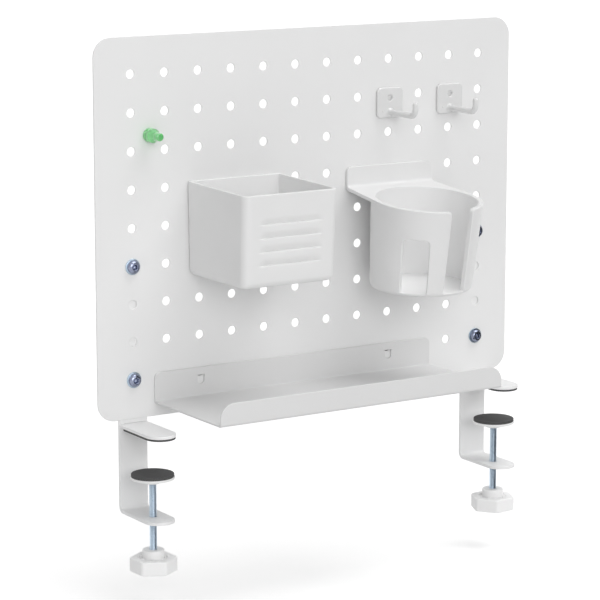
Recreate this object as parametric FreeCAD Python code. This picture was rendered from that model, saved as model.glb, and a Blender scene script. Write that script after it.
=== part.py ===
import FreeCAD
import Part
import math
import os

# Clamp-on perforated panel for the back edge of a desk, with a tray, a pen cup, a cup holder, two hooks and
# a magnetic pin hung on it.
#
# Millimetres and degrees. +X runs along the panel to the right, -Y faces the user and +Z is up. The origin
# is on the desk top, where the back edge of the desk meets the clamp straps, midway between the clamps.

# ---------------------------------------------------------------------------------------------------------
# Driving dimensions

# perforated panel, sheet steel
hole_pitch = 30.0
hole_columns = 12
hole_rows = 9
hole_diameter = 7.2
side_margin = 32.0
bottom_margin = 31.2
top_margin = 28.8
panel_thickness = 1.5
panel_corner_radius = 15.0

# clamp brackets, strip steel
strap_width = 25.0
strap_thickness = 2.5
strap_bend_radius = 3.0
strap_top_margin = 15.0
strap_corner_radius = 4.0
upper_bolt_row = 3
throat_height = 65.0
lower_tongue_length = 52.0
upper_jaw_length = 55.0
upper_jaw_thickness = 2.5
jaw_to_panel_gap = 3.5
jaw_tab_width = 15.0
jaw_pad_thickness = 1.6
jaw_pad_inset = 0.4
jaw_pad_start = 5.0
jaw_pad_corner_radius = 0.5
plate_edge_round = 0.5

# clamp screws, knobs and pressure feet
screw_diameter = 6.0
screw_reach = 30.0
screw_length = 61.0
screw_shoulder = 1.0
screw_head_flats = 10.0
screw_head_height = 4.0
screw_edge_round = 0.3
spigot_head_overhang = 1.4
spigot_head_height = 1.0
spigot_head_round = 0.4
foot_diameter = 35.0
foot_thickness = 2.0
foot_boss_diameter = 13.0
foot_boss_height = 3.5
foot_boss_round = 0.6
foot_boss_blend = 1.0
foot_edge_round = 0.8
foot_pad_inset = 0.6
foot_pad_thickness = 2.2
foot_pad_round = 0.4
foot_recess_depth = 1.3
left_jaw_opening = 30.4
right_jaw_opening = 27.5
knob_corner_width = 37.4
knob_height = 11.3
knob_corner_radius = 3.5
knob_edge_round = 1.1
knob_hub_diameter = 17.6
knob_hub_height = 6.4
knob_groove_width = 2.6
knob_groove_depth = 2.2
knob_groove_round = 0.4
knob_rib_width = 2.4
knob_rib_count = 6
knob_head_cover = 1.0
left_knob_turn = 32.2
right_knob_turn = 6.7

# bolts, washers and nuts that hold the brackets to the panel
bolt_diameter = 6.0
bolt_head_diameter = 10.5
bolt_head_height = 3.3
bolt_head_rim_height = 1.0
bolt_head_crown_diameter = 8.6
bolt_head_crown_height = 2.8
bolt_head_flat_diameter = 5.2
bolt_head_round = 0.8
bolt_head_edge_round = 0.2
bolt_socket_flats = 4.0
bolt_socket_depth = 2.1
bolt_end_length = 1.5
bolt_end_chamfer = 0.7
washer_diameter = 12.6
washer_thickness = 1.2
washer_edge_round = 0.3
nut_flats = 10.0
nut_height = 5.0

# moulded pegs that hook behind the panel
peg_width = 3.4
peg_neck_height = 3.0
peg_leg_drop = 2.9
peg_leg_thickness = 2.6
peg_corner_radius = 0.6

# tray, bent sheet steel
tray_left_column = 2
tray_right_column = 8
tray_end_overhang = 42.0
tray_depth = 103.0
tray_sheet = 1.5
tray_bend_radius = 1.0
tray_floor_drop = 19.2
tray_back_height = 24.6
tray_lip_height = 18.3
tray_back_corner_radius = 5.0
tray_lip_corner_radius = 12.0
tray_tab_width = 5.0
tray_tab_drop = 3.0
tray_tab_bend = 0.8
tray_tab_round = 0.3
tray_window_height = 7.2
tray_window_corner = 2.5
tray_window_side_gap = 0.6

# pen cup, moulded
pen_cup_left_column = 2
pen_cup_right_column = 4
pen_cup_row = 4
pen_cup_side_play = 2.1
pen_cup_width = 85.8
pen_cup_depth = 87.0
pen_cup_height = 74.8
pen_cup_rise = 33.7
pen_cup_wall = 2.2
pen_cup_front_wall = 3.2
pen_cup_floor = 2.4
pen_cup_side_taper = 1.0
pen_cup_front_taper = 3.9
pen_cup_front_corner = 6.0
pen_cup_back_corner = 3.0
pen_cup_inner_corner = 0.8
pen_cup_bottom_round = 5.0
pen_cup_rim_round = 0.7
pen_cup_rim_fall = 2.0
louvre_count = 4
louvre_spacing = 10.7
louvre_width = 59.5
louvre_height = 6.6
louvre_depth = 2.1
louvre_ledge_slope = 1.5
louvre_floor_round = 0.7
louvre_first_drop = 26.0

# cup holder, moulded
holder_left_column = 7
holder_right_column = 9
holder_row = 5
holder_plate_width = 84.0
holder_plate_rise = 3.9
holder_plate_height = 19.9
holder_plate_thickness = 3.0
holder_plate_corner = 4.0
holder_tilt = 6.4
holder_reach = 55.9
holder_rim_drop = 18.5
holder_rim_radius = 45.4
holder_bottom_radius = 41.4
holder_cup_height = 74.0
holder_base_tilt = 2.5
holder_wall = 4.2
holder_floor = 3.0
holder_shelf_thickness = 3.6
holder_bottom_round = 4.0
handle_slot_width = 22.0
handle_slot_direction = 6.0
handle_slot_corner = 3.5
window_width = 22.0
window_direction = -44.0
window_top_drop = 25.0
window_corner = 4.0

# hooks, moulded
hook_columns = (8, 10)
hook_row = 7
hook_plate_size = 25.0
hook_plate_drop = 6.0
hook_plate_thickness = 2.6
hook_plate_corner = 4.0
hook_plate_edge_round = 1.2
hook_arm_diameter = 4.8
hook_arm_drop = 8.0
hook_arm_reach = 38.5
hook_arm_bend = 6.0
hook_tip_rise = 11.7
hook_root_flare = 1.2
hook_root_length = 2.5
hook_dimple_diameter = 4.6
hook_dimple_depth = 1.2
hook_dimple_drop = 2.0
hook_gate_diameter = 1.6
hook_gate_offset = 7.0
hook_gate_depth = 0.8

# magnetic pin, moulded round a disc magnet
pin_column = 0
pin_row = 6
pin_column_offset = 16.0
pin_row_offset = 12.0
pin_base_diameter = 11.4
pin_base_height = 3.2
pin_waist_diameter = 8.6
pin_waist_height = 1.6
pin_flange_diameter = 11.2
pin_flange_height = 2.6
pin_grip_diameter = 6.4
pin_cone_height = 3.6
pin_length = 18.0
pin_base_round = 0.6
pin_waist_round = 0.5
pin_edge_round = 1.2
pin_magnet_diameter = 8.0
pin_magnet_height = 2.2
pin_magnet_recess = 0.1

# fits
bolt_hole_clearance = 0.3
slot_clearance = 0.1
running_clearance = 0.05
face_gap = 0.2
rest_gap = 0.3
end_play = 0.1

# how far a cutter reaches past the faces that it cuts
cut_margin = 1.0
# radius of a half-round end as a share of the half width, just short of one so that its two arcs don't meet
full_round = 0.9999

# ---------------------------------------------------------------------------------------------------------
# Places that follow from the sizes

half_strap = strap_width / 2
panel_width = (hole_columns - 1) * hole_pitch + 2 * side_margin
panel_height = (hole_rows - 1) * hole_pitch + bottom_margin + top_margin
panel_bottom = jaw_pad_thickness + upper_jaw_thickness + jaw_to_panel_gap
panel_front = -panel_thickness
accessory_back = panel_front - face_gap
hole_radius = hole_diameter / 2


def column_x(column):
    return (column - (hole_columns - 1) / 2) * hole_pitch


def row_z(row):
    return panel_bottom + bottom_margin + row * hole_pitch


# ---------------------------------------------------------------------------------------------------------
# Shape helpers

def vec(x, y, z):
    return FreeCAD.Vector(x, y, z)


def outline(points, radii):
    """Closed wire through the points, each corner rounded by its own radius."""
    starts = []
    ends = []
    middles = []
    count = len(points)
    for index in range(count):
        corner = points[index]
        radius = radii[index]
        if radius <= 0:
            starts.append(corner)
            ends.append(corner)
            middles.append(None)
            continue
        back = (points[index - 1] - corner).normalize()
        ahead = (points[(index + 1) % count] - corner).normalize()
        half_angle = math.acos(max(-1.0, min(1.0, back.dot(ahead)))) / 2
        trim = radius / math.tan(half_angle)
        bisector = (back + ahead).normalize()
        starts.append(corner + back * trim)
        ends.append(corner + ahead * trim)
        middles.append(corner + bisector * (radius / math.sin(half_angle) - radius))
    edges = []
    for index in range(count):
        if middles[index] is not None:
            edges.append(Part.Arc(starts[index], middles[index], ends[index]).toShape())
        following = starts[(index + 1) % count]
        if (following - ends[index]).Length > 1e-6:
            edges.append(Part.LineSegment(ends[index], following).toShape())
    return Part.Wire(edges)


def prism(points, radii, direction):
    return Part.Face(outline(points, radii)).extrude(direction)


def profile_yz(pairs, radii, x, width):
    """Solid of constant section: the section's points are (y, z), and it is width long, centred on x."""
    points = [vec(x - width / 2, y, z) for y, z in pairs]
    return prism(points, radii, vec(width, 0, 0))


def plate_xz(x_low, x_high, z_low, z_high, radii, y_back, thickness):
    """Upright plate; the radii run from its lower left corner anticlockwise, seen from the front."""
    points = [
        vec(x_low, y_back, z_low),
        vec(x_high, y_back, z_low),
        vec(x_high, y_back, z_high),
        vec(x_low, y_back, z_high),
    ]
    return prism(points, radii, vec(0, -thickness, 0))


def box(x_low, x_high, y_low, y_high, z_low, z_high):
    corner = vec(x_low, y_low, z_low)
    return Part.makeBox(x_high - x_low, y_high - y_low, z_high - z_low, corner)


def cylinder(diameter, length, base, direction):
    return Part.makeCylinder(diameter / 2, length, base, direction)


def stand(solid, base, direction):
    """Moves a solid that was built up from the origin, so that it rises from the base along the direction."""
    solid.Placement = FreeCAD.Placement(base, FreeCAD.Rotation(vec(0, 0, 1), direction))
    return solid


def turned(pairs, radii, base, direction):
    """Turned solid: the section's points are (radius, height) above the base, along the direction."""
    points = [vec(radius, 0, height) for radius, height in pairs]
    solid = Part.Face(outline(points, radii)).revolve(vec(0, 0, 0), vec(0, 0, 1), 360)
    return stand(solid, base, direction)


def hexagon(reach, corner_radius, height, turn, base, direction):
    """Hexagonal prism; reach is from its axis to a sharp corner, and turn is its first corner's angle."""
    angles = [math.radians(turn + 360 * index / 6) for index in range(6)]
    corners = [vec(reach * math.cos(angle), reach * math.sin(angle), 0) for angle in angles]
    return stand(prism(corners, [corner_radius] * 6, vec(0, 0, height)), base, direction)


def hexagon_reach(flats):
    """Distance from a hexagon's axis to its corners, from its width across flats."""
    return flats / math.sqrt(3)


def edges_where(shape, test):
    return [edge for edge in shape.Edges if test(edge)]


def is_along(edge, axis):
    """True for a straight edge that runs along the given unit vector."""
    if edge.Curve.TypeId != "Part::GeomLine":
        return False
    return abs(abs(edge.tangentAt(edge.FirstParameter).dot(axis)) - 1) < 1e-6


def rounded_tongue(x, length, y_root, z_low, thickness):
    """Flat tongue as wide as the strap, with a half-round end."""
    pairs = [
        (x - half_strap, y_root),
        (x - half_strap, -length),
        (x + half_strap, -length),
        (x + half_strap, y_root),
    ]
    points = [vec(px, py, z_low) for px, py in pairs]
    end_radius = half_strap * full_round
    return prism(points, [0, end_radius, end_radius, 0], vec(0, 0, thickness))


# ---------------------------------------------------------------------------------------------------------
# Perforated panel

def make_panel():
    half_width = panel_width / 2
    panel_top = panel_bottom + panel_height
    radii = [panel_corner_radius] * 4
    panel = plate_xz(-half_width, half_width, panel_bottom, panel_top, radii, 0, panel_thickness)
    holes = []
    for column in range(hole_columns):
        for row in range(hole_rows):
            base = vec(column_x(column), panel_front - cut_margin, row_z(row))
            holes.append(cylinder(hole_diameter, panel_thickness + 2 * cut_margin, base, vec(0, 1, 0)))
    return panel.cut(Part.makeCompound(holes))


# ---------------------------------------------------------------------------------------------------------
# Clamp brackets: strap, bent lower tongue, and an upper jaw whose tab is welded into a slot in the strap

bolt_rows = (0, upper_bolt_row)
clamp_columns = (0, hole_columns - 1)
strap_top = row_z(upper_bolt_row) + strap_top_margin
jaw_bottom = jaw_pad_thickness
jaw_top = jaw_bottom + upper_jaw_thickness
tongue_top = -throat_height
tongue_bottom = tongue_top - strap_thickness


def make_bracket(x):
    pairs = [
        (strap_thickness, strap_top),
        (strap_thickness, tongue_bottom),
        (-lower_tongue_length, tongue_bottom),
        (-lower_tongue_length, tongue_top),
        (0, tongue_top),
        (0, strap_top),
    ]
    outer_bend = strap_bend_radius + strap_thickness
    strip = profile_yz(pairs, [0, outer_bend, 0, 0, strap_bend_radius, 0], x, strap_width)
    end_corners = edges_where(strip, lambda edge: is_along(edge, vec(0, 0, 1))
                              and abs(edge.CenterOfMass.y + lower_tongue_length) < 1e-6)
    strip = strip.makeFillet(half_strap * full_round, end_corners)
    top_corners = edges_where(strip, lambda edge: is_along(edge, vec(0, 1, 0))
                              and abs(edge.CenterOfMass.z - strap_top) < 1e-6)
    strip = strip.makeFillet(strap_corner_radius, top_corners)
    tools = []
    for row in bolt_rows:
        base = vec(x, -cut_margin, row_z(row))
        diameter = bolt_diameter + 2 * bolt_hole_clearance
        tools.append(cylinder(diameter, strap_thickness + 2 * cut_margin, base, vec(0, 1, 0)))
    half_slot = jaw_tab_width / 2 + slot_clearance
    tools.append(box(x - half_slot, x + half_slot, -cut_margin, strap_thickness + cut_margin,
                     jaw_bottom - slot_clearance, jaw_top + slot_clearance))
    screw_hole = screw_diameter + 2 * running_clearance
    base = vec(x, -screw_reach, tongue_bottom - cut_margin)
    tools.append(cylinder(screw_hole, strap_thickness + 2 * cut_margin, base, vec(0, 0, 1)))
    return strip.cut(Part.makeCompound(tools))


def make_upper_jaw(x):
    jaw = rounded_tongue(x, upper_jaw_length, 0, jaw_bottom, upper_jaw_thickness)
    rim = edges_where(jaw, lambda edge: not is_along(edge, vec(0, 0, 1))
                      and edge.CenterOfMass.y < -1e-3)
    jaw = jaw.makeFillet(plate_edge_round, rim)
    half_tab = jaw_tab_width / 2
    tab = box(x - half_tab, x + half_tab, -cut_margin, strap_thickness, jaw_bottom, jaw_top)
    return jaw.fuse(tab).removeSplitter()


def make_jaw_pad(x):
    inset = half_strap - jaw_pad_inset
    length = upper_jaw_length - jaw_pad_inset
    points = [
        vec(x - inset, -jaw_pad_start, 0),
        vec(x - inset, -length, 0),
        vec(x + inset, -length, 0),
        vec(x + inset, -jaw_pad_start, 0),
    ]
    corner = jaw_pad_corner_radius
    end_radius = inset * full_round
    return prism(points, [corner, end_radius, end_radius, corner], vec(0, 0, jaw_pad_thickness))


# ---------------------------------------------------------------------------------------------------------
# Bolts, washers and nuts: one set at each bolt hole of each strap

bolt_places = [(column_x(column), row_z(row)) for column in clamp_columns for row in bolt_rows]
washer_front = panel_front - washer_thickness
nut_back = strap_thickness + nut_height


def make_bolt(x, z):
    shank_length = nut_back + bolt_end_length - washer_front
    radius = bolt_diameter / 2
    shank_points = [(0, 0), (radius, 0), (radius, shank_length), (0, shank_length)]
    shank_base = vec(x, washer_front, z)
    shank = turned(shank_points, [0, 0, 0, 0], shank_base, vec(0, 1, 0))
    tip = edges_where(shank, lambda edge: abs(edge.CenterOfMass.y - washer_front - shank_length) < 1e-6)
    shank = shank.makeChamfer(bolt_end_chamfer, tip)
    head_points = [
        (0, 0),
        (bolt_head_diameter / 2, 0),
        (bolt_head_diameter / 2, bolt_head_rim_height),
        (bolt_head_crown_diameter / 2, bolt_head_crown_height),
        (bolt_head_flat_diameter / 2, bolt_head_height),
        (0, bolt_head_height),
    ]
    head_radii = [0, bolt_head_edge_round, bolt_head_round, 2 * bolt_head_round, bolt_head_round, 0]
    head = turned(head_points, head_radii, shank_base, vec(0, -1, 0))
    socket_mouth = vec(x, washer_front - bolt_head_height - cut_margin, z)
    socket = hexagon(hexagon_reach(bolt_socket_flats), 0, bolt_socket_depth + cut_margin, 0,
                     socket_mouth, vec(0, 1, 0))
    return head.fuse(shank).cut(socket).removeSplitter()


def make_washer(x, z):
    inner = bolt_diameter / 2 + bolt_hole_clearance
    outer = washer_diameter / 2
    section = [(inner, 0), (outer, 0), (outer, washer_thickness), (inner, washer_thickness)]
    return turned(section, [0, 0, washer_edge_round, 0], vec(x, panel_front, z), vec(0, -1, 0))


def make_nut(x, z):
    reach = hexagon_reach(nut_flats)
    blank = hexagon(reach, 0, nut_height, 30, vec(x, strap_thickness, z), vec(0, 1, 0))
    chamfer = reach - nut_flats / 2
    section = [
        (bolt_diameter / 2, 0),
        (reach, 0),
        (reach, nut_height - chamfer),
        (nut_flats / 2, nut_height),
        (bolt_diameter / 2, nut_height),
    ]
    turned_blank = turned(section, [0] * 5, vec(x, strap_thickness, z), vec(0, 1, 0))
    return blank.common(turned_blank)


# ---------------------------------------------------------------------------------------------------------
# Clamp screw, knob and pressure foot. The screw's spigot is riveted over inside the foot, under the pad.

spigot_diameter = screw_diameter - 2 * screw_shoulder
spigot_head_diameter = spigot_diameter + 2 * spigot_head_overhang


def foot_levels(opening):
    """Heights of the foot's faces for a jaw opening: pad top, disc top, disc underside, boss underside."""
    pad_top = -opening
    disc_top = pad_top - foot_pad_thickness
    disc_bottom = disc_top - foot_thickness
    return pad_top, disc_top, disc_bottom, disc_bottom - foot_boss_height


def make_foot_disc(x, opening):
    _, disc_top, _, boss_bottom = foot_levels(opening)
    depth = foot_thickness + foot_boss_height
    radius = foot_diameter / 2
    bore = spigot_diameter / 2 + running_clearance
    recess = spigot_head_diameter / 2 + rest_gap
    section = [
        (bore, 0),
        (foot_boss_diameter / 2, 0),
        (foot_boss_diameter / 2, foot_boss_height),
        (radius, foot_boss_height),
        (radius, depth),
        (recess, depth),
        (recess, depth - foot_recess_depth),
        (bore, depth - foot_recess_depth),
    ]
    radii = [0, foot_boss_round, foot_boss_blend, foot_edge_round, foot_edge_round / 2, 0, 0, 0]
    return turned(section, radii, vec(x, -screw_reach, boss_bottom), vec(0, 0, 1))


def make_foot_pad(x, opening):
    _, disc_top, _, _ = foot_levels(opening)
    radius = foot_diameter / 2 - foot_pad_inset
    section = [(0, 0), (radius, 0), (radius, foot_pad_thickness), (0, foot_pad_thickness)]
    return turned(section, [0, 0, foot_pad_round, 0], vec(x, -screw_reach, disc_top), vec(0, 0, 1))


def knob_levels(opening):
    """Heights of the knob's hub top, hexagon top and hexagon underside."""
    hub_top = -opening - screw_length
    hex_top = hub_top - knob_hub_height
    return hub_top, hex_top, hex_top - knob_height


def make_screw(x, opening, turn):
    _, disc_top, _, boss_bottom = foot_levels(opening)
    _, _, knob_bottom = knob_levels(opening)
    radius = screw_diameter / 2
    spigot_top = disc_top - foot_recess_depth + end_play
    shoulder = boss_bottom - end_play
    rod_bottom = knob_bottom + knob_head_cover
    section = [
        (0, rod_bottom),
        (radius, rod_bottom),
        (radius, shoulder),
        (spigot_diameter / 2, shoulder),
        (spigot_diameter / 2, spigot_top),
        (spigot_head_diameter / 2, spigot_top),
        (spigot_head_diameter / 2, spigot_top + spigot_head_height),
        (0, spigot_top + spigot_head_height),
    ]
    radii = [0, 0, screw_edge_round, 0, 0, 0, spigot_head_round, 0]
    rod = turned(section, radii, vec(x, -screw_reach, 0), vec(0, 0, 1))
    head = hexagon(hexagon_reach(screw_head_flats), 0, screw_head_height, turn,
                   vec(x, -screw_reach, rod_bottom), vec(0, 0, 1))
    return rod.fuse(head).removeSplitter()


def make_knob(x, opening, turn):
    hub_top, hex_top, hex_bottom = knob_levels(opening)
    reach = knob_corner_width / 2
    # a rounded corner lies inside the sharp one, so the sharp hexagon is a little larger
    sharp_reach = reach + knob_corner_radius * (2 / math.sqrt(3) - 1)
    upward = vec(0, 0, 1)
    bottom = vec(x, -screw_reach, hex_bottom)
    body = hexagon(sharp_reach, knob_corner_radius, knob_height, turn, bottom, upward)
    rims = edges_where(body, lambda edge: abs(edge.CenterOfMass.z - hex_bottom) < 1e-6
                       or abs(edge.CenterOfMass.z - hex_top) < 1e-6)
    body = body.makeFillet(knob_edge_round, rims)
    hub_radius = knob_hub_diameter / 2
    groove_outer = hub_radius + knob_groove_width
    groove_floor = hex_top - knob_groove_depth
    axis_point = vec(x, -screw_reach, 0)
    groove_section = [
        (hub_radius, groove_floor),
        (groove_outer, groove_floor),
        (groove_outer, hex_top + cut_margin),
        (hub_radius, hex_top + cut_margin),
    ]
    groove = turned(groove_section, [knob_groove_round, knob_groove_round, 0, 0], axis_point, upward)
    half_rib = knob_rib_width / 2
    ribs = []
    for index in range(knob_rib_count):
        rib = box(0, groove_outer + cut_margin, -half_rib, half_rib,
                  groove_floor - cut_margin, hex_top + 2 * cut_margin)
        rib.rotate(vec(0, 0, 0), upward, turn + 30 + index * 360 / knob_rib_count)
        rib.translate(axis_point)
        ribs.append(rib)
    body = body.cut(groove.cut(Part.makeCompound(ribs)))
    hub_root = groove_floor - cut_margin
    hub_section = [(0, hub_root), (hub_radius, hub_root), (hub_radius, hub_top), (0, hub_top)]
    hub = turned(hub_section, [0, 0, knob_edge_round, 0], axis_point, upward)
    knob = body.fuse(hub)
    bore = cylinder(screw_diameter, hub_top - hex_bottom + 2 * cut_margin,
                    bottom - vec(0, 0, cut_margin), upward)
    pocket_height = knob_head_cover + screw_head_height
    pocket = hexagon(hexagon_reach(screw_head_flats), 0, pocket_height, turn, bottom, upward)
    return knob.cut(bore.fuse(pocket)).removeSplitter()


# ---------------------------------------------------------------------------------------------------------
# Hooked peg: its neck rests in a panel hole and its leg hangs down behind the panel

def hole_floor(width):
    """Depth below a hole's centre at which something of this width rests on the hole's edge."""
    return math.sqrt(hole_radius ** 2 - (width / 2) ** 2)


def make_peg(x, hole_z, y_root):
    neck_bottom = hole_z - hole_floor(peg_width) + rest_gap
    neck_top = neck_bottom + peg_neck_height
    leg_front = face_gap
    leg_back = leg_front + peg_leg_thickness
    leg_bottom = neck_bottom - peg_leg_drop
    pairs = [
        (y_root, neck_bottom),
        (leg_front, neck_bottom),
        (leg_front, leg_bottom),
        (leg_back, leg_bottom),
        (leg_back, neck_top),
        (y_root, neck_top),
    ]
    round_off = peg_corner_radius
    return profile_yz(pairs, [0, 0, round_off, round_off, round_off * 2, 0], x, peg_width)


# ---------------------------------------------------------------------------------------------------------
# Tray: back plate, floor and lip bent from one sheet, with two tabs lanced from the back plate

tray_hole_z = row_z(0)
tray_left = column_x(tray_left_column) - tray_end_overhang
tray_right = column_x(tray_right_column) + tray_end_overhang
tray_floor_top = tray_hole_z - tray_floor_drop
tray_floor_bottom = tray_floor_top - tray_sheet
tray_lip_front = panel_front - tray_depth


def make_tray():
    back = accessory_back
    front_of_back = back - tray_sheet
    lip_back = tray_lip_front + tray_sheet
    back_top = tray_floor_bottom + tray_back_height
    lip_top = tray_floor_bottom + tray_lip_height
    outer = tray_bend_radius + tray_sheet
    pairs = [
        (back, back_top),
        (back, tray_floor_bottom),
        (tray_lip_front, tray_floor_bottom),
        (tray_lip_front, lip_top),
        (lip_back, lip_top),
        (lip_back, tray_floor_top),
        (front_of_back, tray_floor_top),
        (front_of_back, back_top),
    ]
    radii = [0, outer, outer, 0, 0, tray_bend_radius, tray_bend_radius, 0]
    middle = (tray_left + tray_right) / 2
    tray = profile_yz(pairs, radii, middle, tray_right - tray_left)
    lip_ends = edges_where(tray, lambda edge: is_along(edge, vec(0, 1, 0))
                           and abs(edge.CenterOfMass.z - lip_top) < 1e-6)
    tray = tray.makeFillet(tray_lip_corner_radius, lip_ends)
    back_ends = edges_where(tray, lambda edge: is_along(edge, vec(0, 1, 0))
                            and abs(edge.CenterOfMass.z - back_top) < 1e-6)
    tray = tray.makeFillet(tray_back_corner_radius, back_ends)
    tab_bottom = tray_hole_z - hole_floor(tray_tab_width) + rest_gap
    tab_top = tab_bottom + tray_sheet
    leg_back = face_gap + tray_sheet
    leg_bottom = tab_bottom - tray_tab_drop
    half_window = tray_tab_width / 2 + tray_window_side_gap
    window_back = back + cut_margin
    for column in (tray_left_column, tray_right_column):
        x = column_x(column)
        window_points = [
            vec(x - half_window, window_back, tab_bottom - tray_window_height),
            vec(x + half_window, window_back, tab_bottom - tray_window_height),
            vec(x + half_window, window_back, tab_bottom),
            vec(x - half_window, window_back, tab_bottom),
        ]
        window = prism(window_points, [tray_window_corner, tray_window_corner, 0, 0],
                       vec(0, -tray_sheet - 2 * cut_margin, 0))
        tab_pairs = [
            (front_of_back, tab_top),
            (front_of_back, tab_bottom),
            (face_gap, tab_bottom),
            (face_gap, leg_bottom),
            (leg_back, leg_bottom),
            (leg_back, tab_top),
        ]
        tab_radii = [0, 0, 0, tray_tab_round, tray_tab_bend, 0]
        tab = profile_yz(tab_pairs, tab_radii, x, tray_tab_width)
        tray = tray.cut(window).fuse(tab)
    return tray.removeSplitter()


# ---------------------------------------------------------------------------------------------------------
# Pen cup: open square box with drafted walls, louvres pressed into its front, and two pegs behind

pen_cup_x = (column_x(pen_cup_left_column) + column_x(pen_cup_right_column)) / 2 + pen_cup_side_play
pen_cup_top = row_z(pen_cup_row) + pen_cup_rise
pen_cup_bottom = pen_cup_top - pen_cup_height


def pen_cup_section(z, inset_side, inset_front, inset_back, back_round):
    """Plan outline of the cup at a height, with the walls moved in by the insets."""
    fall = (pen_cup_top - z) / pen_cup_height
    half = pen_cup_width / 2 - pen_cup_side_taper * fall - inset_side
    front = accessory_back - pen_cup_depth + pen_cup_front_taper * fall + inset_front
    back = accessory_back - inset_back
    points = [
        vec(pen_cup_x - half, back, z),
        vec(pen_cup_x - half, front, z),
        vec(pen_cup_x + half, front, z),
        vec(pen_cup_x + half, back, z),
    ]
    front_round = pen_cup_front_corner - inset_side
    return outline(points, [back_round, front_round, front_round, back_round])


def pen_cup_front(z):
    fall = (pen_cup_top - z) / pen_cup_height
    return accessory_back - pen_cup_depth + pen_cup_front_taper * fall


def pen_cup_rim_level(y):
    """Height of the rim, which falls a little from the panel to the front."""
    return pen_cup_top - pen_cup_rim_fall * (accessory_back - y) / pen_cup_depth


def make_pen_cup():
    outer = Part.makeLoft([
        pen_cup_section(pen_cup_bottom, 0, 0, 0, 0),
        pen_cup_section(pen_cup_top, 0, 0, 0, 0),
    ], True, True)
    under = edges_where(outer, lambda edge: abs(edge.CenterOfMass.z - pen_cup_bottom) < 1e-6
                        and edge.CenterOfMass.y < accessory_back - 1e-3)
    outer = outer.makeFillet(pen_cup_bottom_round, under)
    behind = edges_where(outer, lambda edge: abs(edge.CenterOfMass.y - accessory_back) < 1e-6
                         and abs(edge.CenterOfMass.x - pen_cup_x) > 1e-3)
    outer = outer.makeFillet(pen_cup_back_corner, behind)
    inner_bottom = pen_cup_bottom + pen_cup_floor
    over = pen_cup_top + cut_margin
    inner_round = max(pen_cup_back_corner - pen_cup_wall, pen_cup_inner_corner)
    inner = Part.makeLoft([
        pen_cup_section(inner_bottom, pen_cup_wall, pen_cup_front_wall, pen_cup_wall, inner_round),
        pen_cup_section(over, pen_cup_wall, pen_cup_front_wall, pen_cup_wall, inner_round),
    ], True, True)
    cup = outer.cut(inner)
    beyond = accessory_back - pen_cup_depth - cut_margin
    above_rim = [(accessory_back, pen_cup_top), (beyond, pen_cup_rim_level(beyond)), (beyond, over),
                 (accessory_back, over)]
    cup = cup.cut(profile_yz(above_rim, [0] * 4, pen_cup_x, pen_cup_width + 2 * cut_margin))
    rim = edges_where(cup, lambda edge: edge.CenterOfMass.y < accessory_back - 1e-3
                      and abs(edge.CenterOfMass.z - pen_cup_rim_level(edge.CenterOfMass.y)) < 1e-6)
    cup = cup.makeFillet(pen_cup_rim_round, rim)
    for index in range(louvre_count):
        ledge = pen_cup_top - louvre_first_drop - index * louvre_spacing
        deepest = ledge + louvre_ledge_slope
        start = ledge + louvre_height
        pairs = [
            (pen_cup_front(ledge) - cut_margin, ledge - louvre_ledge_slope / 2),
            (pen_cup_front(deepest) + louvre_depth, deepest),
            (pen_cup_front(start), start),
            (pen_cup_front(start) - cut_margin, start),
        ]
        louvre = profile_yz(pairs, [0, louvre_floor_round, 0, 0], pen_cup_x, louvre_width)
        cup = cup.cut(louvre)
    for column in (pen_cup_left_column, pen_cup_right_column):
        cup = cup.fuse(make_peg(column_x(column), row_z(pen_cup_row), accessory_back - pen_cup_wall / 2))
    return cup.removeSplitter()


# ---------------------------------------------------------------------------------------------------------
# Cup holder: back plate with two pegs, a shelf that slopes forward, and a round cup with a handle slot

holder_x = (column_x(holder_left_column) + column_x(holder_right_column)) / 2
holder_hole_z = row_z(holder_row)
holder_plate_top = holder_hole_z + holder_plate_rise
holder_plate_bottom = holder_plate_top - holder_plate_height
holder_rim_centre = vec(holder_x, panel_front - holder_reach, holder_hole_z - holder_rim_drop)


def tilt_into_place(shape):
    """Moves a shape built round the cup's own upright axis to its tilted place."""
    shape.rotate(vec(0, 0, 0), vec(1, 0, 0), holder_tilt)
    shape.translate(holder_rim_centre)
    return shape


def above_base(shape, rise):
    """The part of a placed shape that lies above the cup's base, raised by the given height."""
    drop = holder_cup_height - rise
    turn = math.radians(holder_tilt)
    point = holder_rim_centre + vec(0, drop * math.sin(turn), -drop * math.cos(turn))
    reach = 3 * holder_rim_radius
    below = Part.makeBox(2 * reach, 2 * reach, reach, vec(-reach, -reach, -reach))
    below.rotate(vec(0, 0, 0), vec(1, 0, 0), holder_base_tilt)
    below.translate(point)
    return shape.cut(below)


def radial_cut(width, direction, z_high, high_radius, open_top):
    """Cutter through the cup's wall, facing the given direction from the front, up to a height."""
    half = width / 2
    near = holder_bottom_radius / 2
    z_low = -holder_cup_height - holder_bottom_radius / 2
    if open_top:
        ear = half + high_radius + cut_margin
        over = z_high + cut_margin
        pairs = [
            (-ear, over), (-ear, z_high), (-half, z_high), (-half, z_low),
            (half, z_low), (half, z_high), (ear, z_high), (ear, over),
        ]
        radii = [0, 0, high_radius, 0, 0, high_radius, 0, 0]
    else:
        pairs = [(-half, z_high), (-half, z_low), (half, z_low), (half, z_high)]
        radii = [high_radius, 0, 0, high_radius]
    points = [vec(px, -near, pz) for px, pz in pairs]
    cutter = prism(points, radii, vec(0, -holder_rim_radius, 0))
    cutter.rotate(vec(0, 0, 0), vec(0, 0, 1), direction)
    return above_base(tilt_into_place(cutter), holder_floor)


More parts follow.
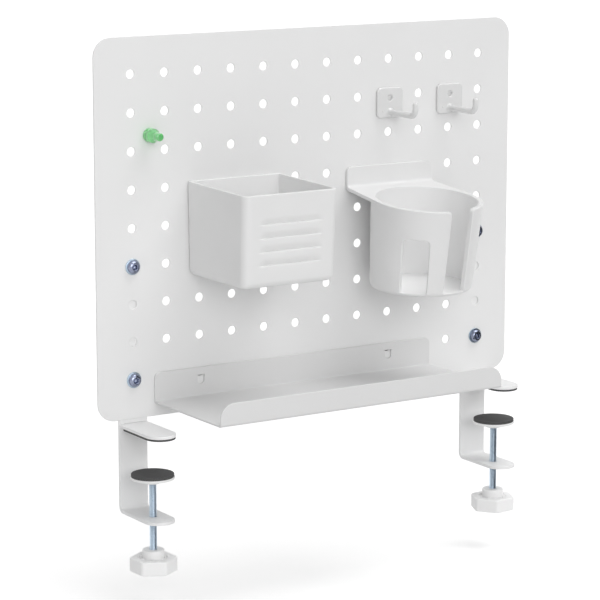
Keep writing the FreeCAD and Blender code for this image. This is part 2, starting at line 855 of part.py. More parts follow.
def taper_cone(rim_radius, above):
    """The cup's taper as a solid cone, from above the rim to well below the base, before it is tilted."""
    below = holder_cup_height + holder_bottom_radius
    slope = (holder_rim_radius - holder_bottom_radius) / holder_cup_height
    top = rim_radius + slope * above
    base = rim_radius - slope * below
    return Part.makeCone(base, top, below + above, vec(0, 0, -below), vec(0, 0, 1))


def make_cup_holder():
    rim = holder_rim_radius
    body = above_base(tilt_into_place(taper_cone(rim, 0)), 0)
    lowest = min(vertex.Z for vertex in body.Vertexes)
    base_edges = edges_where(body, lambda edge: edge.BoundBox.ZMin < lowest + holder_bottom_round
                             and edge.BoundBox.ZLength < holder_bottom_round and edge.Length > rim)
    body = body.makeFillet(holder_bottom_round, base_edges)
    # the shelf narrows from the cup's rim to the back plate along two tangents
    half_plate = holder_plate_width / 2
    back_reach = holder_reach + holder_plate_thickness
    distance = math.hypot(half_plate, back_reach)
    tangent_angle = math.atan2(back_reach, half_plate) - math.acos(rim / distance)
    touch_x = rim * math.cos(tangent_angle)
    touch_y = rim * math.sin(tangent_angle)
    shelf_points = [
        vec(-touch_x, touch_y, -holder_shelf_thickness),
        vec(touch_x, touch_y, -holder_shelf_thickness),
        vec(half_plate, back_reach, -holder_shelf_thickness),
        vec(-half_plate, back_reach, -holder_shelf_thickness),
    ]
    shelf = prism(shelf_points, [0] * 4, vec(0, 0, holder_shelf_thickness))
    lip = cylinder(2 * rim, holder_shelf_thickness, vec(0, 0, -holder_shelf_thickness), vec(0, 0, 1))
    solid = body.fuse(tilt_into_place(shelf.fuse(lip)))
    behind = box(holder_x - 2 * rim, holder_x + 2 * rim, accessory_back, accessory_back + 2 * rim,
                 holder_plate_bottom - 2 * rim, holder_plate_top + 2 * rim)
    solid = solid.cut(behind)
    corner = holder_plate_corner
    plate = plate_xz(holder_x - half_plate, holder_x + half_plate, holder_plate_bottom, holder_plate_top,
                     [corner / 2, corner / 2, corner, corner], accessory_back, holder_plate_thickness)
    solid = solid.fuse(plate).removeSplitter()
    cavity = above_base(tilt_into_place(taper_cone(rim - holder_wall, cut_margin)), holder_floor)
    slot = radial_cut(handle_slot_width, handle_slot_direction, 0, handle_slot_corner, True)
    window = radial_cut(window_width, window_direction, -window_top_drop, window_corner, False)
    solid = solid.cut(cavity).cut(slot).cut(window)
    for column in (holder_left_column, holder_right_column):
        peg = make_peg(column_x(column), holder_hole_z, accessory_back - holder_plate_thickness / 2)
        solid = solid.fuse(peg)
    return solid.removeSplitter()


# ---------------------------------------------------------------------------------------------------------
# Hooks: square plate, round arm with an upturned tip, and one peg

def make_hook(x):
    hole_z = row_z(hook_row)
    half = hook_plate_size / 2
    middle_z = hole_z - hook_plate_drop
    plate = plate_xz(x - half, x + half, middle_z - half, middle_z + half,
                     [hook_plate_corner] * 4, accessory_back, hook_plate_thickness)
    plate_front = accessory_back - hook_plate_thickness
    rim = edges_where(plate, lambda edge: abs(edge.CenterOfMass.y - plate_front) < 1e-6)
    plate = plate.makeFillet(hook_plate_edge_round, rim)
    radius = hook_arm_diameter / 2
    arm_z = middle_z - hook_arm_drop
    tip_y = panel_front - hook_arm_reach
    bend_y = tip_y + hook_arm_bend
    bend_centre = vec(x, bend_y, arm_z + hook_arm_bend)
    arm_start = plate_front + hook_plate_thickness / 2
    arm = cylinder(hook_arm_diameter, arm_start - bend_y, vec(x, arm_start, arm_z), vec(0, -1, 0))
    end_circle = Part.makeCircle(radius, vec(x, bend_y, arm_z), vec(0, -1, 0))
    bend = Part.Face(Part.Wire(end_circle)).revolve(bend_centre, vec(-1, 0, 0), 90)
    tip_top = arm_z + hook_tip_rise
    rise_start = arm_z + hook_arm_bend
    rise = cylinder(hook_arm_diameter, tip_top - radius - rise_start, vec(x, tip_y, rise_start), vec(0, 0, 1))
    tip = Part.makeSphere(radius, vec(x, tip_y, tip_top - radius))
    flare = Part.makeCone(radius + hook_root_flare, radius, hook_root_length,
                          vec(x, plate_front, arm_z), vec(0, -1, 0))
    hook = plate.fuse([arm, bend, rise, tip, flare])
    in_front = plate_front - cut_margin
    dimple = cylinder(hook_dimple_diameter, hook_dimple_depth + cut_margin,
                      vec(x, in_front, hole_z - hook_dimple_drop), vec(0, 1, 0))
    gate = cylinder(hook_gate_diameter, hook_gate_depth + cut_margin,
                    vec(x - hook_gate_offset, in_front, middle_z - hook_gate_offset), vec(0, 1, 0))
    hook = hook.cut(dimple.fuse(gate))
    return hook.fuse(make_peg(x, hole_z, accessory_back - hook_plate_thickness / 2)).removeSplitter()


# ---------------------------------------------------------------------------------------------------------
# Magnetic pin: turned plastic body with a disc magnet in its base

pin_place = vec(column_x(pin_column) + pin_column_offset, panel_front, row_z(pin_row) + pin_row_offset)


def make_pin_body():
    base = pin_base_diameter / 2
    waist = pin_waist_diameter / 2
    flange = pin_flange_diameter / 2
    grip = pin_grip_diameter / 2
    waist_top = pin_base_height + pin_waist_height
    flange_top = waist_top + pin_flange_height
    cone_top = flange_top + pin_cone_height
    magnet = pin_magnet_diameter / 2
    pocket = pin_magnet_height + pin_magnet_recess
    section = [
        (0, pocket),
        (magnet, pocket),
        (magnet, 0),
        (base, 0),
        (base, pin_base_height),
        (waist, pin_base_height + pin_waist_height / 2),
        (flange, waist_top),
        (flange, flange_top),
        (grip, cone_top),
        (grip, pin_length),
        (0, pin_length),
    ]
    soft = pin_edge_round
    radii = [0, 0, 0, pin_base_round, soft, pin_waist_round, soft / 2, soft, 2 * soft, soft, 0]
    return turned(section, radii, pin_place, vec(0, -1, 0))


def make_pin_magnet():
    base = pin_place + vec(0, -pin_magnet_recess, 0)
    return cylinder(pin_magnet_diameter, pin_magnet_height, base, vec(0, -1, 0))


# ---------------------------------------------------------------------------------------------------------
# Every piece, by name

def build_parts():
    parts = {"pegboard_panel": make_panel()}
    sides = (
        ("left", column_x(clamp_columns[0]), left_jaw_opening, left_knob_turn),
        ("right", column_x(clamp_columns[1]), right_jaw_opening, right_knob_turn),
    )
    for side, x, opening, turn in sides:
        parts[side + "_clamp_bracket"] = make_bracket(x)
        parts[side + "_upper_jaw"] = make_upper_jaw(x)
        parts[side + "_jaw_pad"] = make_jaw_pad(x)
        parts[side + "_foot_disc"] = make_foot_disc(x, opening)
        parts[side + "_foot_pad"] = make_foot_pad(x, opening)
        parts[side + "_clamp_screw"] = make_screw(x, opening, turn)
        parts[side + "_knob"] = make_knob(x, opening, turn)
    parts["bracket_bolts"] = Part.makeCompound([make_bolt(x, z) for x, z in bolt_places])
    parts["bolt_washers"] = Part.makeCompound([make_washer(x, z) for x, z in bolt_places])
    parts["bracket_nuts"] = Part.makeCompound([make_nut(x, z) for x, z in bolt_places])
    parts["tray"] = make_tray()
    parts["pen_cup"] = make_pen_cup()
    parts["cup_holder"] = make_cup_holder()
    for side, column in zip(("left", "right"), hook_columns):
        parts[side + "_hook"] = make_hook(column_x(column))
    parts["pin_body"] = make_pin_body()
    parts["pin_magnet"] = make_pin_magnet()
    return parts


os.makedirs("parts", exist_ok=True)
for name, shape in build_parts().items():
    shape.exportStep("parts/" + name + ".step")
    solids = len(shape.Solids)
    print(name, "solids", solids, "valid", shape.isValid(), "volume %.1f" % shape.Volume)
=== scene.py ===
import bmesh
import bpy
import math
from mathutils import Matrix, Vector


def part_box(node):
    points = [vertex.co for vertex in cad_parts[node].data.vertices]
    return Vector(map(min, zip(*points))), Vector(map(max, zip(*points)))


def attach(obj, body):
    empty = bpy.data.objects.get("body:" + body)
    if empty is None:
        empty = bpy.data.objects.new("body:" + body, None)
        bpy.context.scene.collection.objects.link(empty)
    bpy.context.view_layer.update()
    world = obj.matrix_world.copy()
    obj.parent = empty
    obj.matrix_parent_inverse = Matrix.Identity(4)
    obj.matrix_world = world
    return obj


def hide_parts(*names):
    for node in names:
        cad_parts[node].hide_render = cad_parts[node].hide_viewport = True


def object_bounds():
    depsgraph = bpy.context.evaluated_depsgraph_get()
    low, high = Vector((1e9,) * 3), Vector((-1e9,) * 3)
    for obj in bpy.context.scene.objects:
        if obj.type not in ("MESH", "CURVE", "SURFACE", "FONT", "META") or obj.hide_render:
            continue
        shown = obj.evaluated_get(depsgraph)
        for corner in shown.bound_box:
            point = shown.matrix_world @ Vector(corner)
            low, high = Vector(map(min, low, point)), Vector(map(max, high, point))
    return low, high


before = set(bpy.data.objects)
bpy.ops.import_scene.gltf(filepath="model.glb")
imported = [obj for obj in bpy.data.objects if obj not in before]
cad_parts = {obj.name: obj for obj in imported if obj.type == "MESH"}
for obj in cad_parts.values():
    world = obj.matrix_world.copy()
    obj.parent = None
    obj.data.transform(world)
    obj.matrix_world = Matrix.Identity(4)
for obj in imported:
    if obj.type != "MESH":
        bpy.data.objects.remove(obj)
cad_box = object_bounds()
scene = bpy.context.scene
mm = 0.001

# ----------------------------------------------------------------------
# Perforated panel
# One flat sheet of mild steel, 1.5 mm thick, punched with a 30 mm grid of 7.2 mm holes and cut with round
# corners. It is deburred, so each edge has a small radius, and then powder coated white.

hole_pitch = 30 * mm
hole_columns = 12
hole_rows = 9
hole_radius = 3.6 * mm
bottom_margin = 31.2 * mm
panel_corner = 15 * mm
coated_edge = 0.35 * mm
same_point = 0.001 * mm


def column_x(column):
    """Middle of a column of holes, counted from the left."""
    return (column - (hole_columns - 1) / 2) * hole_pitch


def row_z(row):
    """Middle of a row of holes, counted from the bottom."""
    return panel_low.z + bottom_margin + row * hole_pitch


def circle(x, y, radius, facets=32):
    """Points of a circle, in the order of the clock's hands."""
    angles = [-2 * math.pi * index / facets for index in range(facets)]
    return [(x + radius * math.cos(angle), y + radius * math.sin(angle)) for angle in angles]


def rounded(corners, facets=8):
    """Points of an outline or profile; each corner is x, y and the radius that rounds it."""
    points = []
    for index, (x, y, radius) in enumerate(corners):
        corner = Vector((x, y))
        back = Vector(corners[index - 1][:2]) - corner
        ahead = Vector(corners[(index + 1) % len(corners)][:2]) - corner
        if radius <= 0:
            points.append((x, y))
            continue
        back.normalize()
        ahead.normalize()
        half = math.acos(max(-1, min(1, back.dot(ahead)))) / 2
        middle = (back + ahead).normalized() * (radius / math.sin(half)) + corner
        first = corner + back * (radius / math.tan(half)) - middle
        turn = math.pi - 2 * half
        if back.x * ahead.y - back.y * ahead.x > 0:
            turn = -turn
        for step in range(facets + 1):
            spoke = Matrix.Rotation(turn * step / facets, 2) @ first
            points.append(tuple(middle + spoke))
    return points


def cut_blank(outline, holes, thickness, edge):
    """Flat sheet cut to an outline with holes. It lies in XY, from height 0 to its thickness."""
    curve = bpy.data.curves.new("blank", "CURVE")
    curve.dimensions = "2D"
    curve.fill_mode = "BOTH"
    curve.extrude = thickness / 2 - edge
    curve.bevel_depth = edge
    curve.bevel_resolution = 2
    curve.offset = -edge
    for loop in [outline] + holes:
        spline = curve.splines.new("POLY")
        spline.points.add(len(loop) - 1)
        for point, (x, y) in zip(spline.points, loop):
            point.co = (x, y, 0, 1)
        spline.use_cyclic_u = True
    carrier = bpy.data.objects.new("blank", curve)
    cut = bmesh.new()
    cut.from_mesh(bpy.data.meshes.new_from_object(carrier))
    bpy.data.objects.remove(carrier)
    bmesh.ops.remove_doubles(cut, verts=cut.verts, dist=same_point)
    bmesh.ops.translate(cut, verts=cut.verts, vec=(0, 0, thickness / 2))
    return cut


def stand_up(cut, y_back):
    """Turns a flat blank upright, so that it faces the user and its back is at the given depth."""
    bmesh.ops.transform(cut, matrix=Matrix.Translation((0, y_back, 0)) @ Matrix.Rotation(math.pi / 2, 4, "X"),
                        verts=cut.verts)
    return cut


def mount(name, parts, finish, body, node):
    """Joins shapes into one piece, gives it its finish and fixes it to the body it belongs to."""
    whole = bpy.data.meshes.new(name)
    joined = bmesh.new()
    for part in parts:
        part.to_mesh(whole)
        joined.from_mesh(whole)
        part.free()
    bmesh.ops.recalc_face_normals(joined, faces=joined.faces)
    for face in joined.faces:
        face.smooth = True
    joined.to_mesh(whole)
    joined.free()
    whole.materials.append(finish)
    piece = bpy.data.objects.new(name, whole)
    scene.collection.objects.link(piece)
    piece.modifiers.new("flats_stay_flat", "WEIGHTED_NORMAL")
    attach(piece, body)
    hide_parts(node)
    return piece


def hex_colour(code):
    """sRGB hex code as linear red, green, blue and full alpha."""
    channels = [int(code[index:index + 2], 16) / 255 for index in (1, 3, 5)]
    return [c / 12.92 if c <= 0.04045 else ((c + 0.055) / 1.055) ** 2.4 for c in channels] + [1.0]


def add_node(finish, kind, inputs, **settings):
    """Adds one node to a finish. Each input is a plain value or the socket that feeds it."""
    node = finish.node_tree.nodes.new(kind)
    for field, value in settings.items():
        setattr(node, field, value)
    for name, value in inputs.items():
        if isinstance(value, bpy.types.NodeSocket):
            finish.node_tree.links.new(value, node.inputs[name])
        else:
            node.inputs[name].default_value = value
    return node


def new_finish(name, colours, patches, grain=None, gloss=None, relief=None, **plain):
    """Material that drifts from one colour to another in patches. Its gloss (least and most roughness) and
    its relief (strength and depth) follow its grain, or its patches where it has no grain. Patches and grain
    are each a size and a level of detail. Plain values go to the shader by name."""
    finish = bpy.data.materials.new(name)
    finish.use_nodes = True
    connect = finish.node_tree.links.new
    shader = finish.node_tree.nodes["Principled BSDF"]
    for socket, value in plain.items():
        shader.inputs[socket.replace("_", " ")].default_value = value
    place = add_node(finish, "ShaderNodeTexCoord", {}).outputs["Object"]
    drift, fine = [add_node(finish, "ShaderNodeTexNoise", {
        "Vector": place, "Scale": 1 / size, "Detail": detail,
    }).outputs["Fac"] for size, detail in (patches, grain or patches)]
    colour = add_node(finish, "ShaderNodeMix", {
        "Factor": drift, "A": hex_colour(colours[0]), "B": hex_colour(colours[1]),
    }, data_type="RGBA")
    connect(colour.outputs["Result"], shader.inputs["Base Color"])
    if gloss:
        least, most = gloss
        roughness = add_node(finish, "ShaderNodeMapRange", {"Value": fine, "To Min": least, "To Max": most})
        connect(roughness.outputs["Result"], shader.inputs["Roughness"])
    if relief:
        strength, depth = relief
        bump = add_node(finish, "ShaderNodeBump", {"Height": fine, "Strength": strength, "Distance": depth})
        connect(bump.outputs["Normal"], shader.inputs["Normal"])
    return finish


# Polyester powder, sprayed on and melted in an oven: satin, IOR 1.5. As it flows it leaves a faint orange
# peel about 2 mm from crest to crest, and the film varies slightly in colour over a hand's width.
def powder_coat(name, *colours):
    return new_finish(name, colours, patches=(90 * mm, 2), grain=(2 * mm, 1), gloss=(0.38, 0.48),
                      relief=(0.25, 0.03 * mm), Roughness=0.42, IOR=1.5)


panel_coat = powder_coat("white_powder_coat", "#E7E7E7", "#EDEDED")

panel_low, panel_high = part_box("pegboard_panel")
panel_outline = rounded([
    (panel_low.x, panel_low.z, panel_corner),
    (panel_high.x, panel_low.z, panel_corner),
    (panel_high.x, panel_high.z, panel_corner),
    (panel_low.x, panel_high.z, panel_corner),
], 12)
panel_holes = [circle(column_x(column), row_z(row), hole_radius)
               for column in range(hole_columns) for row in range(hole_rows)]
panel = stand_up(cut_blank(panel_outline, panel_holes, panel_high.y - panel_low.y, coated_edge), panel_high.y)
mount("perforated_panel", [panel], panel_coat, "frame", "pegboard_panel")

# ----------------------------------------------------------------------
# Clamp straps
# Two strips of 25 x 2.5 mm steel behind the panel. Each is cut flat, with its bolt holes, the slot for the
# jaw's tab and the screw's hole, then bent once into the lower tongue and powder coated.

# The clamps have the same powder as the panel, drawn a shade brighter: this is painted light.
clamp_coat_painted_light = powder_coat("white_powder_coat_painted_light", "#EDEDED", "#F2F2F2")

strap_width = 25 * mm
strap_thickness = 2.5 * mm
strap_bend = 3 * mm
strap_corner = 4 * mm
bolt_hole = 3.3 * mm
bolt_rows = (0, 3)
screw_hole = 3.05 * mm
jaw_tab_half = 7.5 * mm
slot_clearance = 0.1 * mm
hair = 0.0001 * mm
nearly_half = 0.999  # of a half width: the radius that rounds an end, and still leaves its two arcs apart


def score(cut, place, across):
    """Divides the faces of a sheet along a plane, so that it can bend there."""
    bmesh.ops.bisect_plane(cut, geom=cut.verts[:] + cut.edges[:] + cut.faces[:], dist=hair,
                           plane_co=place, plane_no=across)


def fold(cut, start, heading, bends, steps=8):
    """Bends a flat blank and moves it to its place. Its x runs across the sheet, its y along it, and its
    height becomes the outside of the bends. The first straight starts at (y, z) and points along the
    heading; each bend is its distance along the blank, its angle and its inside radius."""
    for distance, angle, radius in bends:
        for step in range(steps + 1):
            score(cut, (0, distance + radius * angle * step / steps, 0), (0, 1, 0))
    for vert in cut.verts:
        across, along, out = vert.co
        point = Vector(start)
        way = Vector((math.cos(heading), math.sin(heading)))
        walked = 0
        for distance, angle, radius in bends:
            if along <= distance:
                break
            point += way * (distance - walked)
            turn = Matrix.Rotation(-min(angle, (along - distance) / radius), 2)
            spoke = Vector((-way.y, way.x)) * radius
            point += turn @ spoke - spoke
            way = turn @ way
            walked = min(along, distance + radius * angle)
        point += way * (along - walked) + Vector((-way.y, way.x)) * out
        vert.co = (across, point.x, point.y)
    return cut


for side in ("left", "right"):
    low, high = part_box(side + "_clamp_bracket")
    jaw_low, jaw_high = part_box(side + "_upper_jaw")
    pad_low, pad_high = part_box(side + "_foot_pad")
    x = (low.x + high.x) / 2
    half = strap_width / 2
    screw_y = (pad_low.y + pad_high.y) / 2
    bend_at = high.z - low.z - strap_thickness - strap_bend
    depth_zero = bend_at + strap_bend * (math.pi / 2 - 1)
    tip = depth_zero - low.y
    strap_outline = rounded([
        (x - half, 0, strap_corner), (x + half, 0, strap_corner),
        (x + half, tip, half * nearly_half), (x - half, tip, half * nearly_half),
    ], 14)
    slot_half = jaw_tab_half + slot_clearance
    slot_near = high.z - jaw_high.z - slot_clearance
    slot_far = high.z - jaw_low.z + slot_clearance
    strap_holes = [circle(x, high.z - row_z(row), bolt_hole) for row in bolt_rows]
    strap_holes.append([(x - slot_half, slot_near), (x - slot_half, slot_far),
                        (x + slot_half, slot_far), (x + slot_half, slot_near)])
    strap_holes.append(circle(x, depth_zero - screw_y, screw_hole))
    strap = fold(cut_blank(strap_outline, strap_holes, strap_thickness, coated_edge), (0, high.z),
                 -math.pi / 2, [(bend_at, math.pi / 2, strap_bend)])
    mount(side + "_clamp_strap", [strap], clamp_coat_painted_light, "frame", side + "_clamp_bracket")

# ----------------------------------------------------------------------
# Upper jaws
# Flat steel tongues with half-round ends that lie on the desk top. Each has a tab that goes through the
# strap's slot, where it is welded from behind and ground nearly flush before coating.

jaw_edge = 0.5 * mm

for side in ("left", "right"):
    low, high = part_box(side + "_upper_jaw")
    x = (low.x + high.x) / 2
    half = (high.x - low.x) / 2
    jaw_outline = rounded([
        (x - half, low.y, half * nearly_half), (x + half, low.y, half * nearly_half), (x + half, 0, 0),
        (x + jaw_tab_half, 0, 0), (x + jaw_tab_half, high.y, 0), (x - jaw_tab_half, high.y, 0),
        (x - jaw_tab_half, 0, 0), (x - half, 0, 0),
    ], 14)
    jaw = cut_blank(jaw_outline, [], high.z - low.z, jaw_edge)
    bmesh.ops.translate(jaw, verts=jaw.verts, vec=(0, 0, low.z))
    mount(side + "_jaw", [jaw], clamp_coat_painted_light, "frame", side + "_upper_jaw")

# ----------------------------------------------------------------------
# Jaw pads
# Strips of black foam rubber, die cut a little smaller than the jaws and stuck under them with adhesive.
# They keep the steel off the desk top.

# EPDM foam with a skin: matt, IOR 1.5. Its closed cells are about 0.5 mm across; they are drawn at 0.9 mm,
# as coarse as they have to be to show, and give it a soft grain.
foam_rubber = new_finish("black_foam_rubber", ("#3C3C3D", "#565656"), patches=(0.9 * mm, 3),
                         relief=(0.6, 0.15 * mm), Roughness=0.8, IOR=1.5)

pad_corner = 1 * mm
pad_edge = 0.3 * mm

for side in ("left", "right"):
    low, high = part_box(side + "_jaw_pad")
    half = (high.x - low.x) / 2
    pad_outline = rounded([
        (low.x, low.y, half * nearly_half), (high.x, low.y, half * nearly_half),
        (high.x, high.y, pad_corner), (low.x, high.y, pad_corner),
    ], 14)
    pad = cut_blank(pad_outline, [], high.z - low.z, pad_edge)
    bmesh.ops.translate(pad, verts=pad.verts, vec=(0, 0, low.z))
    mount(side + "_jaw_cushion", [pad], foam_rubber, "frame", side + "_jaw_pad")

# ----------------------------------------------------------------------
# Bolts, washers and nuts
# M6 button-head bolts with a hexagon socket, each on a washer in front of the panel, with a hexagon nut
# behind the strap. Cold headed and turned steel, plated with zinc in a turning barrel.

bolt_head_radius = 5.25 * mm
bolt_head_height = 3.3 * mm
bolt_dome = [(0, 0), (0.96, 0), (1.0, 0.06), (1.0, 0.28), (0.975, 0.42), (0.92, 0.6), (0.83, 0.78),
             (0.72, 0.9), (0.6, 0.975), (0.53, 1.0)]  # shares of the head's radius and height
socket_flats = 4 * mm
socket_depth = 2.1 * mm
socket_steps = [(1.12, 0), (1.0, 0.3 * mm), (1.0, socket_depth), (0.0, socket_depth + 0.6 * mm)]
thread_pitch = 1 * mm
thread_crest = 3 * mm
thread_root = 2.45 * mm
thread_runout = 1 * mm
bolt_tip = 0.7 * mm
bolt_tip_radius = 2.7 * mm
washer_thickness = 1.2 * mm
washer_profile = [(radius * mm, height * mm) for radius, height in (
    (3.3, 0), (6.1, 0), (6.3, 0.2), (6.3, 0.9), (6.0, 1.2), (3.6, 1.2), (3.3, 1.0), (3.3, 0))]


def skin(rings, closed=True):
    """Surface over rings of points that follow one another, with its first and last rings filled in."""
    cut = bmesh.new()
    rows = [[cut.verts.new(point) for point in ring] for ring in rings]
    for near, far in zip(rows, rows[1:]):
        for index in range(len(near)):
            after = (index + 1) % len(near)
            cut.faces.new((near[index], near[after], far[after], far[index]))
    if closed:
        cut.faces.new(rows[0])
        cut.faces.new(rows[-1])
    bmesh.ops.remove_doubles(cut, verts=cut.verts, dist=hair)
    return cut


def turned(profile, base, axis, facets=48):
    """Turned shape. The profile's points are radius and height above the base, along the axis."""
    turn = Vector((0, 0, 1)).rotation_difference(Vector(axis))
    rings = []
    for radius, height in profile:
        ring = []
        for index in range(facets):
            angle = 2 * math.pi * index / facets
            spoke = Vector((radius * math.cos(angle), radius * math.sin(angle), height))
            ring.append(Vector(base) + turn @ spoke)
        rings.append(ring)
    return skin(rings, closed=False)


def hexagon_point(angle, flats):
    """Point of a hexagon's outline in the direction of the angle."""
    off_flat = (angle + math.pi / 6) % (math.pi / 3) - math.pi / 6
    reach = flats / 2 / math.cos(off_flat)
    return Vector((reach * math.cos(angle), reach * math.sin(angle)))


def helix(base, axis, length, facets=24):
    """M6 thread of a given length, cut off square at both ends, and hollow inside. Its crest and its root
    each start and end at a share of the pitch."""
    turn = Vector((0, 0, 1)).rotation_difference(Vector(axis))
    flanks = [(0, thread_crest), (0.14, thread_crest), (0.45, thread_root), (0.69, thread_root)]
    turns = math.ceil(length / thread_pitch) + 1
    cut = bmesh.new()
    grid = []
    for share, radius in flanks:
        row = []
        for index in range((turns + 1) * facets + 1):
            angle = 2 * math.pi * index / facets
            height = max(0, min(length, (index / facets + share - 1) * thread_pitch))
            point = Vector((radius * math.cos(angle), radius * math.sin(angle), height))
            row.append(cut.verts.new(Vector(base) + turn @ point))
        grid.append(row)
    for index in range(turns * facets):
        for near, far in zip(grid, grid[1:]):
            cut.faces.new((near[index], near[index + 1], far[index + 1], far[index]))
        last, first = grid[-1], grid[0]
        cut.faces.new((last[index], last[index + 1], first[index + 1 + facets], first[index + facets]))
    return cut


# Zinc plate under a chromate: a metal, so its IOR stays at the default. The bath leaves fine smears of
# about 1.5 mm, and parts that tumble together are dulled by tiny dents.
def zinc(name, *colours, gloss, roughness):
    return new_finish(name, colours, patches=(1.5 * mm, 3), gloss=gloss, Metallic=1.0, Roughness=roughness)


# The clear chromate on the washers and screws gives a cool blue tint. The bolts and nuts have a dark one,
# which is deep blue-grey and still bright.
zinc_plate = zinc("blue_zinc_plate", "#9FB1C6", "#CBD9E2", gloss=(0.2, 0.42), roughness=0.3)
dark_zinc = zinc("dark_blue_zinc_plate", "#757B92", "#A2A9BC", gloss=(0.16, 0.34), roughness=0.22)

angles = [2 * math.pi * index / 36 for index in range(36)]
head_rings = []
for share, rise in bolt_dome:
    radius = bolt_head_radius * share
    height = bolt_head_height * rise
    head_rings.append([(radius * math.cos(a), -height, radius * math.sin(a)) for a in angles])
for share, depth in socket_steps:
    ring = [hexagon_point(a, socket_flats * share) for a in angles]
    head_rings.append([(point.x, depth - bolt_head_height, point.y) for point in ring])

bolt_set = []
washer_set = []
bolt_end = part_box("bracket_bolts")[1].y
thread_length = bolt_end - strap_thickness - thread_runout
for x in (column_x(0), column_x(hole_columns - 1)):
    for z in [row_z(row) for row in bolt_rows]:
        seat = Vector((x, panel_low.y - washer_thickness, z))
        washer_set.append(turned(washer_profile, (x, panel_low.y, z), (0, -1, 0)))
        bolt_set.append(skin([[seat + Vector(point) for point in ring] for ring in head_rings], closed=False))
        bolt_set.append(helix((x, strap_thickness, z), (0, 1, 0), thread_length))
        bolt_set.append(turned([(bolt_tip_radius, 0), (thread_root, bolt_tip), (0, bolt_tip)],
                               (x, bolt_end - bolt_tip, z), (0, 1, 0)))
mount("bracket_bolt_set", bolt_set, dark_zinc, "frame", "bracket_bolts")
mount("washer_set", washer_set, zinc_plate, "frame", "bolt_washers")

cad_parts["bracket_nuts"].material_slots[0].material = dark_zinc

# ----------------------------------------------------------------------
# Pressure feet
# A pressed steel disc with a boss below, powder coated white, and a disc of the same black foam stuck on
# top. The screw's spigot is riveted over in the recess under the foam, so the foot can stay still.

boss_radius = 6.5 * mm
boss_height = 3.5 * mm
foot_bore = 2.05 * mm
recess_radius = 3.7 * mm
recess_depth = 1.3 * mm
screw_axis = {}

for side in ("left", "right"):
    low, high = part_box(side + "_foot_disc")
    x = (low.x + high.x) / 2
    y = (low.y + high.y) / 2
    screw_axis[side] = x, y
    disc_radius = (high.x - low.x) / 2
    depth = high.z - low.z
    disc = rounded([
        (foot_bore, 0, 0.2 * mm), (boss_radius, 0, 0.6 * mm), (boss_radius, boss_height, 1 * mm),
        (disc_radius, boss_height, 0.8 * mm), (disc_radius, depth, 0.5 * mm),
        (recess_radius, depth, 0.1 * mm), (recess_radius, depth - recess_depth, 0),
        (foot_bore, depth - recess_depth, 0),
    ], 4)
    mount(side + "_foot", [turned(disc + disc[:1], (x, y, low.z), (0, 0, 1), 96)], clamp_coat_painted_light,
          side + "_foot", side + "_foot_disc")
    pad_low, pad_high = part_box(side + "_foot_pad")
    radius = (pad_high.x - pad_low.x) / 2
    thickness = pad_high.z - pad_low.z
    cushion = rounded([(0, 0, 0), (radius, 0, 0.1 * mm), (radius, thickness, 0.35 * mm),
                       (0, thickness, 0)], 4)
    mount(side + "_foot_cushion", [turned(cushion, (x, y, pad_low.z), (0, 0, 1), 96)], foam_rubber,
          side + "_foot", side + "_foot_pad")

# ----------------------------------------------------------------------
# Clamp screws
# Lengths of M6 threaded rod with a hexagon head below, which sits in the knob, and a spigot on top, which
# holds the foot. The thread is rolled, so its crests and roots are smooth, and then zinc plated.

spigot_radius = 2 * mm
rivet_radius = 3.4 * mm
rivet_height = 1 * mm
rivet_bevel = 0.4 * mm
shoulder_play = 0.1 * mm
head_flats = 10 * mm
head_height = 4 * mm
head_bevel = 0.5 * mm
rod_in_hub = 3 * mm
knob_turn = {"left": 32.2, "right": 6.7}  # degrees from the right to a knob's first corner

for side in ("left", "right"):
    low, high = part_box(side + "_clamp_screw")
    x, y = screw_axis[side]
    turn = math.radians(knob_turn[side] - 30)
    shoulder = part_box(side + "_foot_disc")[0].z - shoulder_play
    thread_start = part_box(side + "_knob")[1].z - rod_in_hub
    spigot = [(0, high.z), (rivet_radius - rivet_bevel, high.z), (rivet_radius, high.z - rivet_bevel),
              (rivet_radius, high.z - rivet_height), (spigot_radius, high.z - rivet_height),
              (spigot_radius, shoulder), (thread_crest, shoulder)]
    rod = [turned(spigot, (x, y, 0), (0, 0, 1)),
           helix((x, y, thread_start), (0, 0, 1), shoulder - thread_start, 32)]
    rings = []
    for kind, width, height in (("round", 0, low.z), ("round", 0.93 * head_flats, low.z),
                                ("hexagon", head_flats, low.z + head_bevel),
                                ("hexagon", head_flats, low.z + head_height),
                                ("round", 2 * thread_crest, low.z + head_height),
                                ("round", 2 * thread_crest, thread_start)):
        ring = []
        for angle in angles:
            reach = hexagon_point(angle, width).length if kind == "hexagon" else width / 2
            ring.append((x + reach * math.cos(angle + turn), y + reach * math.sin(angle + turn), height))
        rings.append(ring)
    rod.append(skin(rings, closed=False))
    mount(side + "_screw_rod", rod, zinc_plate, side + "_screw", side + "_clamp_screw")

# ----------------------------------------------------------------------
# Hand knobs
# Injection-moulded hexagons with round corners and a hub. A groove round the hub, crossed by six ribs,
# keeps the wall even, so that the moulding does not sink. The screw's head is pressed in from below.

# ABS with a fine spark-eroded texture from the mould: satin, IOR 1.54. Its grain is really about 0.1 mm;
# it is drawn at 0.7 mm, as coarse as it has to be to show. The flow of the melt lets its white drift a bit.
def moulded_abs(name, *colours, gloss=(0.34, 0.5)):
    return new_finish(name, colours, patches=(30 * mm, 2), grain=(0.7 * mm, 2), gloss=gloss,
                      relief=(0.2, 0.04 * mm), Roughness=0.4, IOR=1.54)


knob_abs = moulded_abs("white_textured_abs", "#F4F4F4", "#F9F9F9")

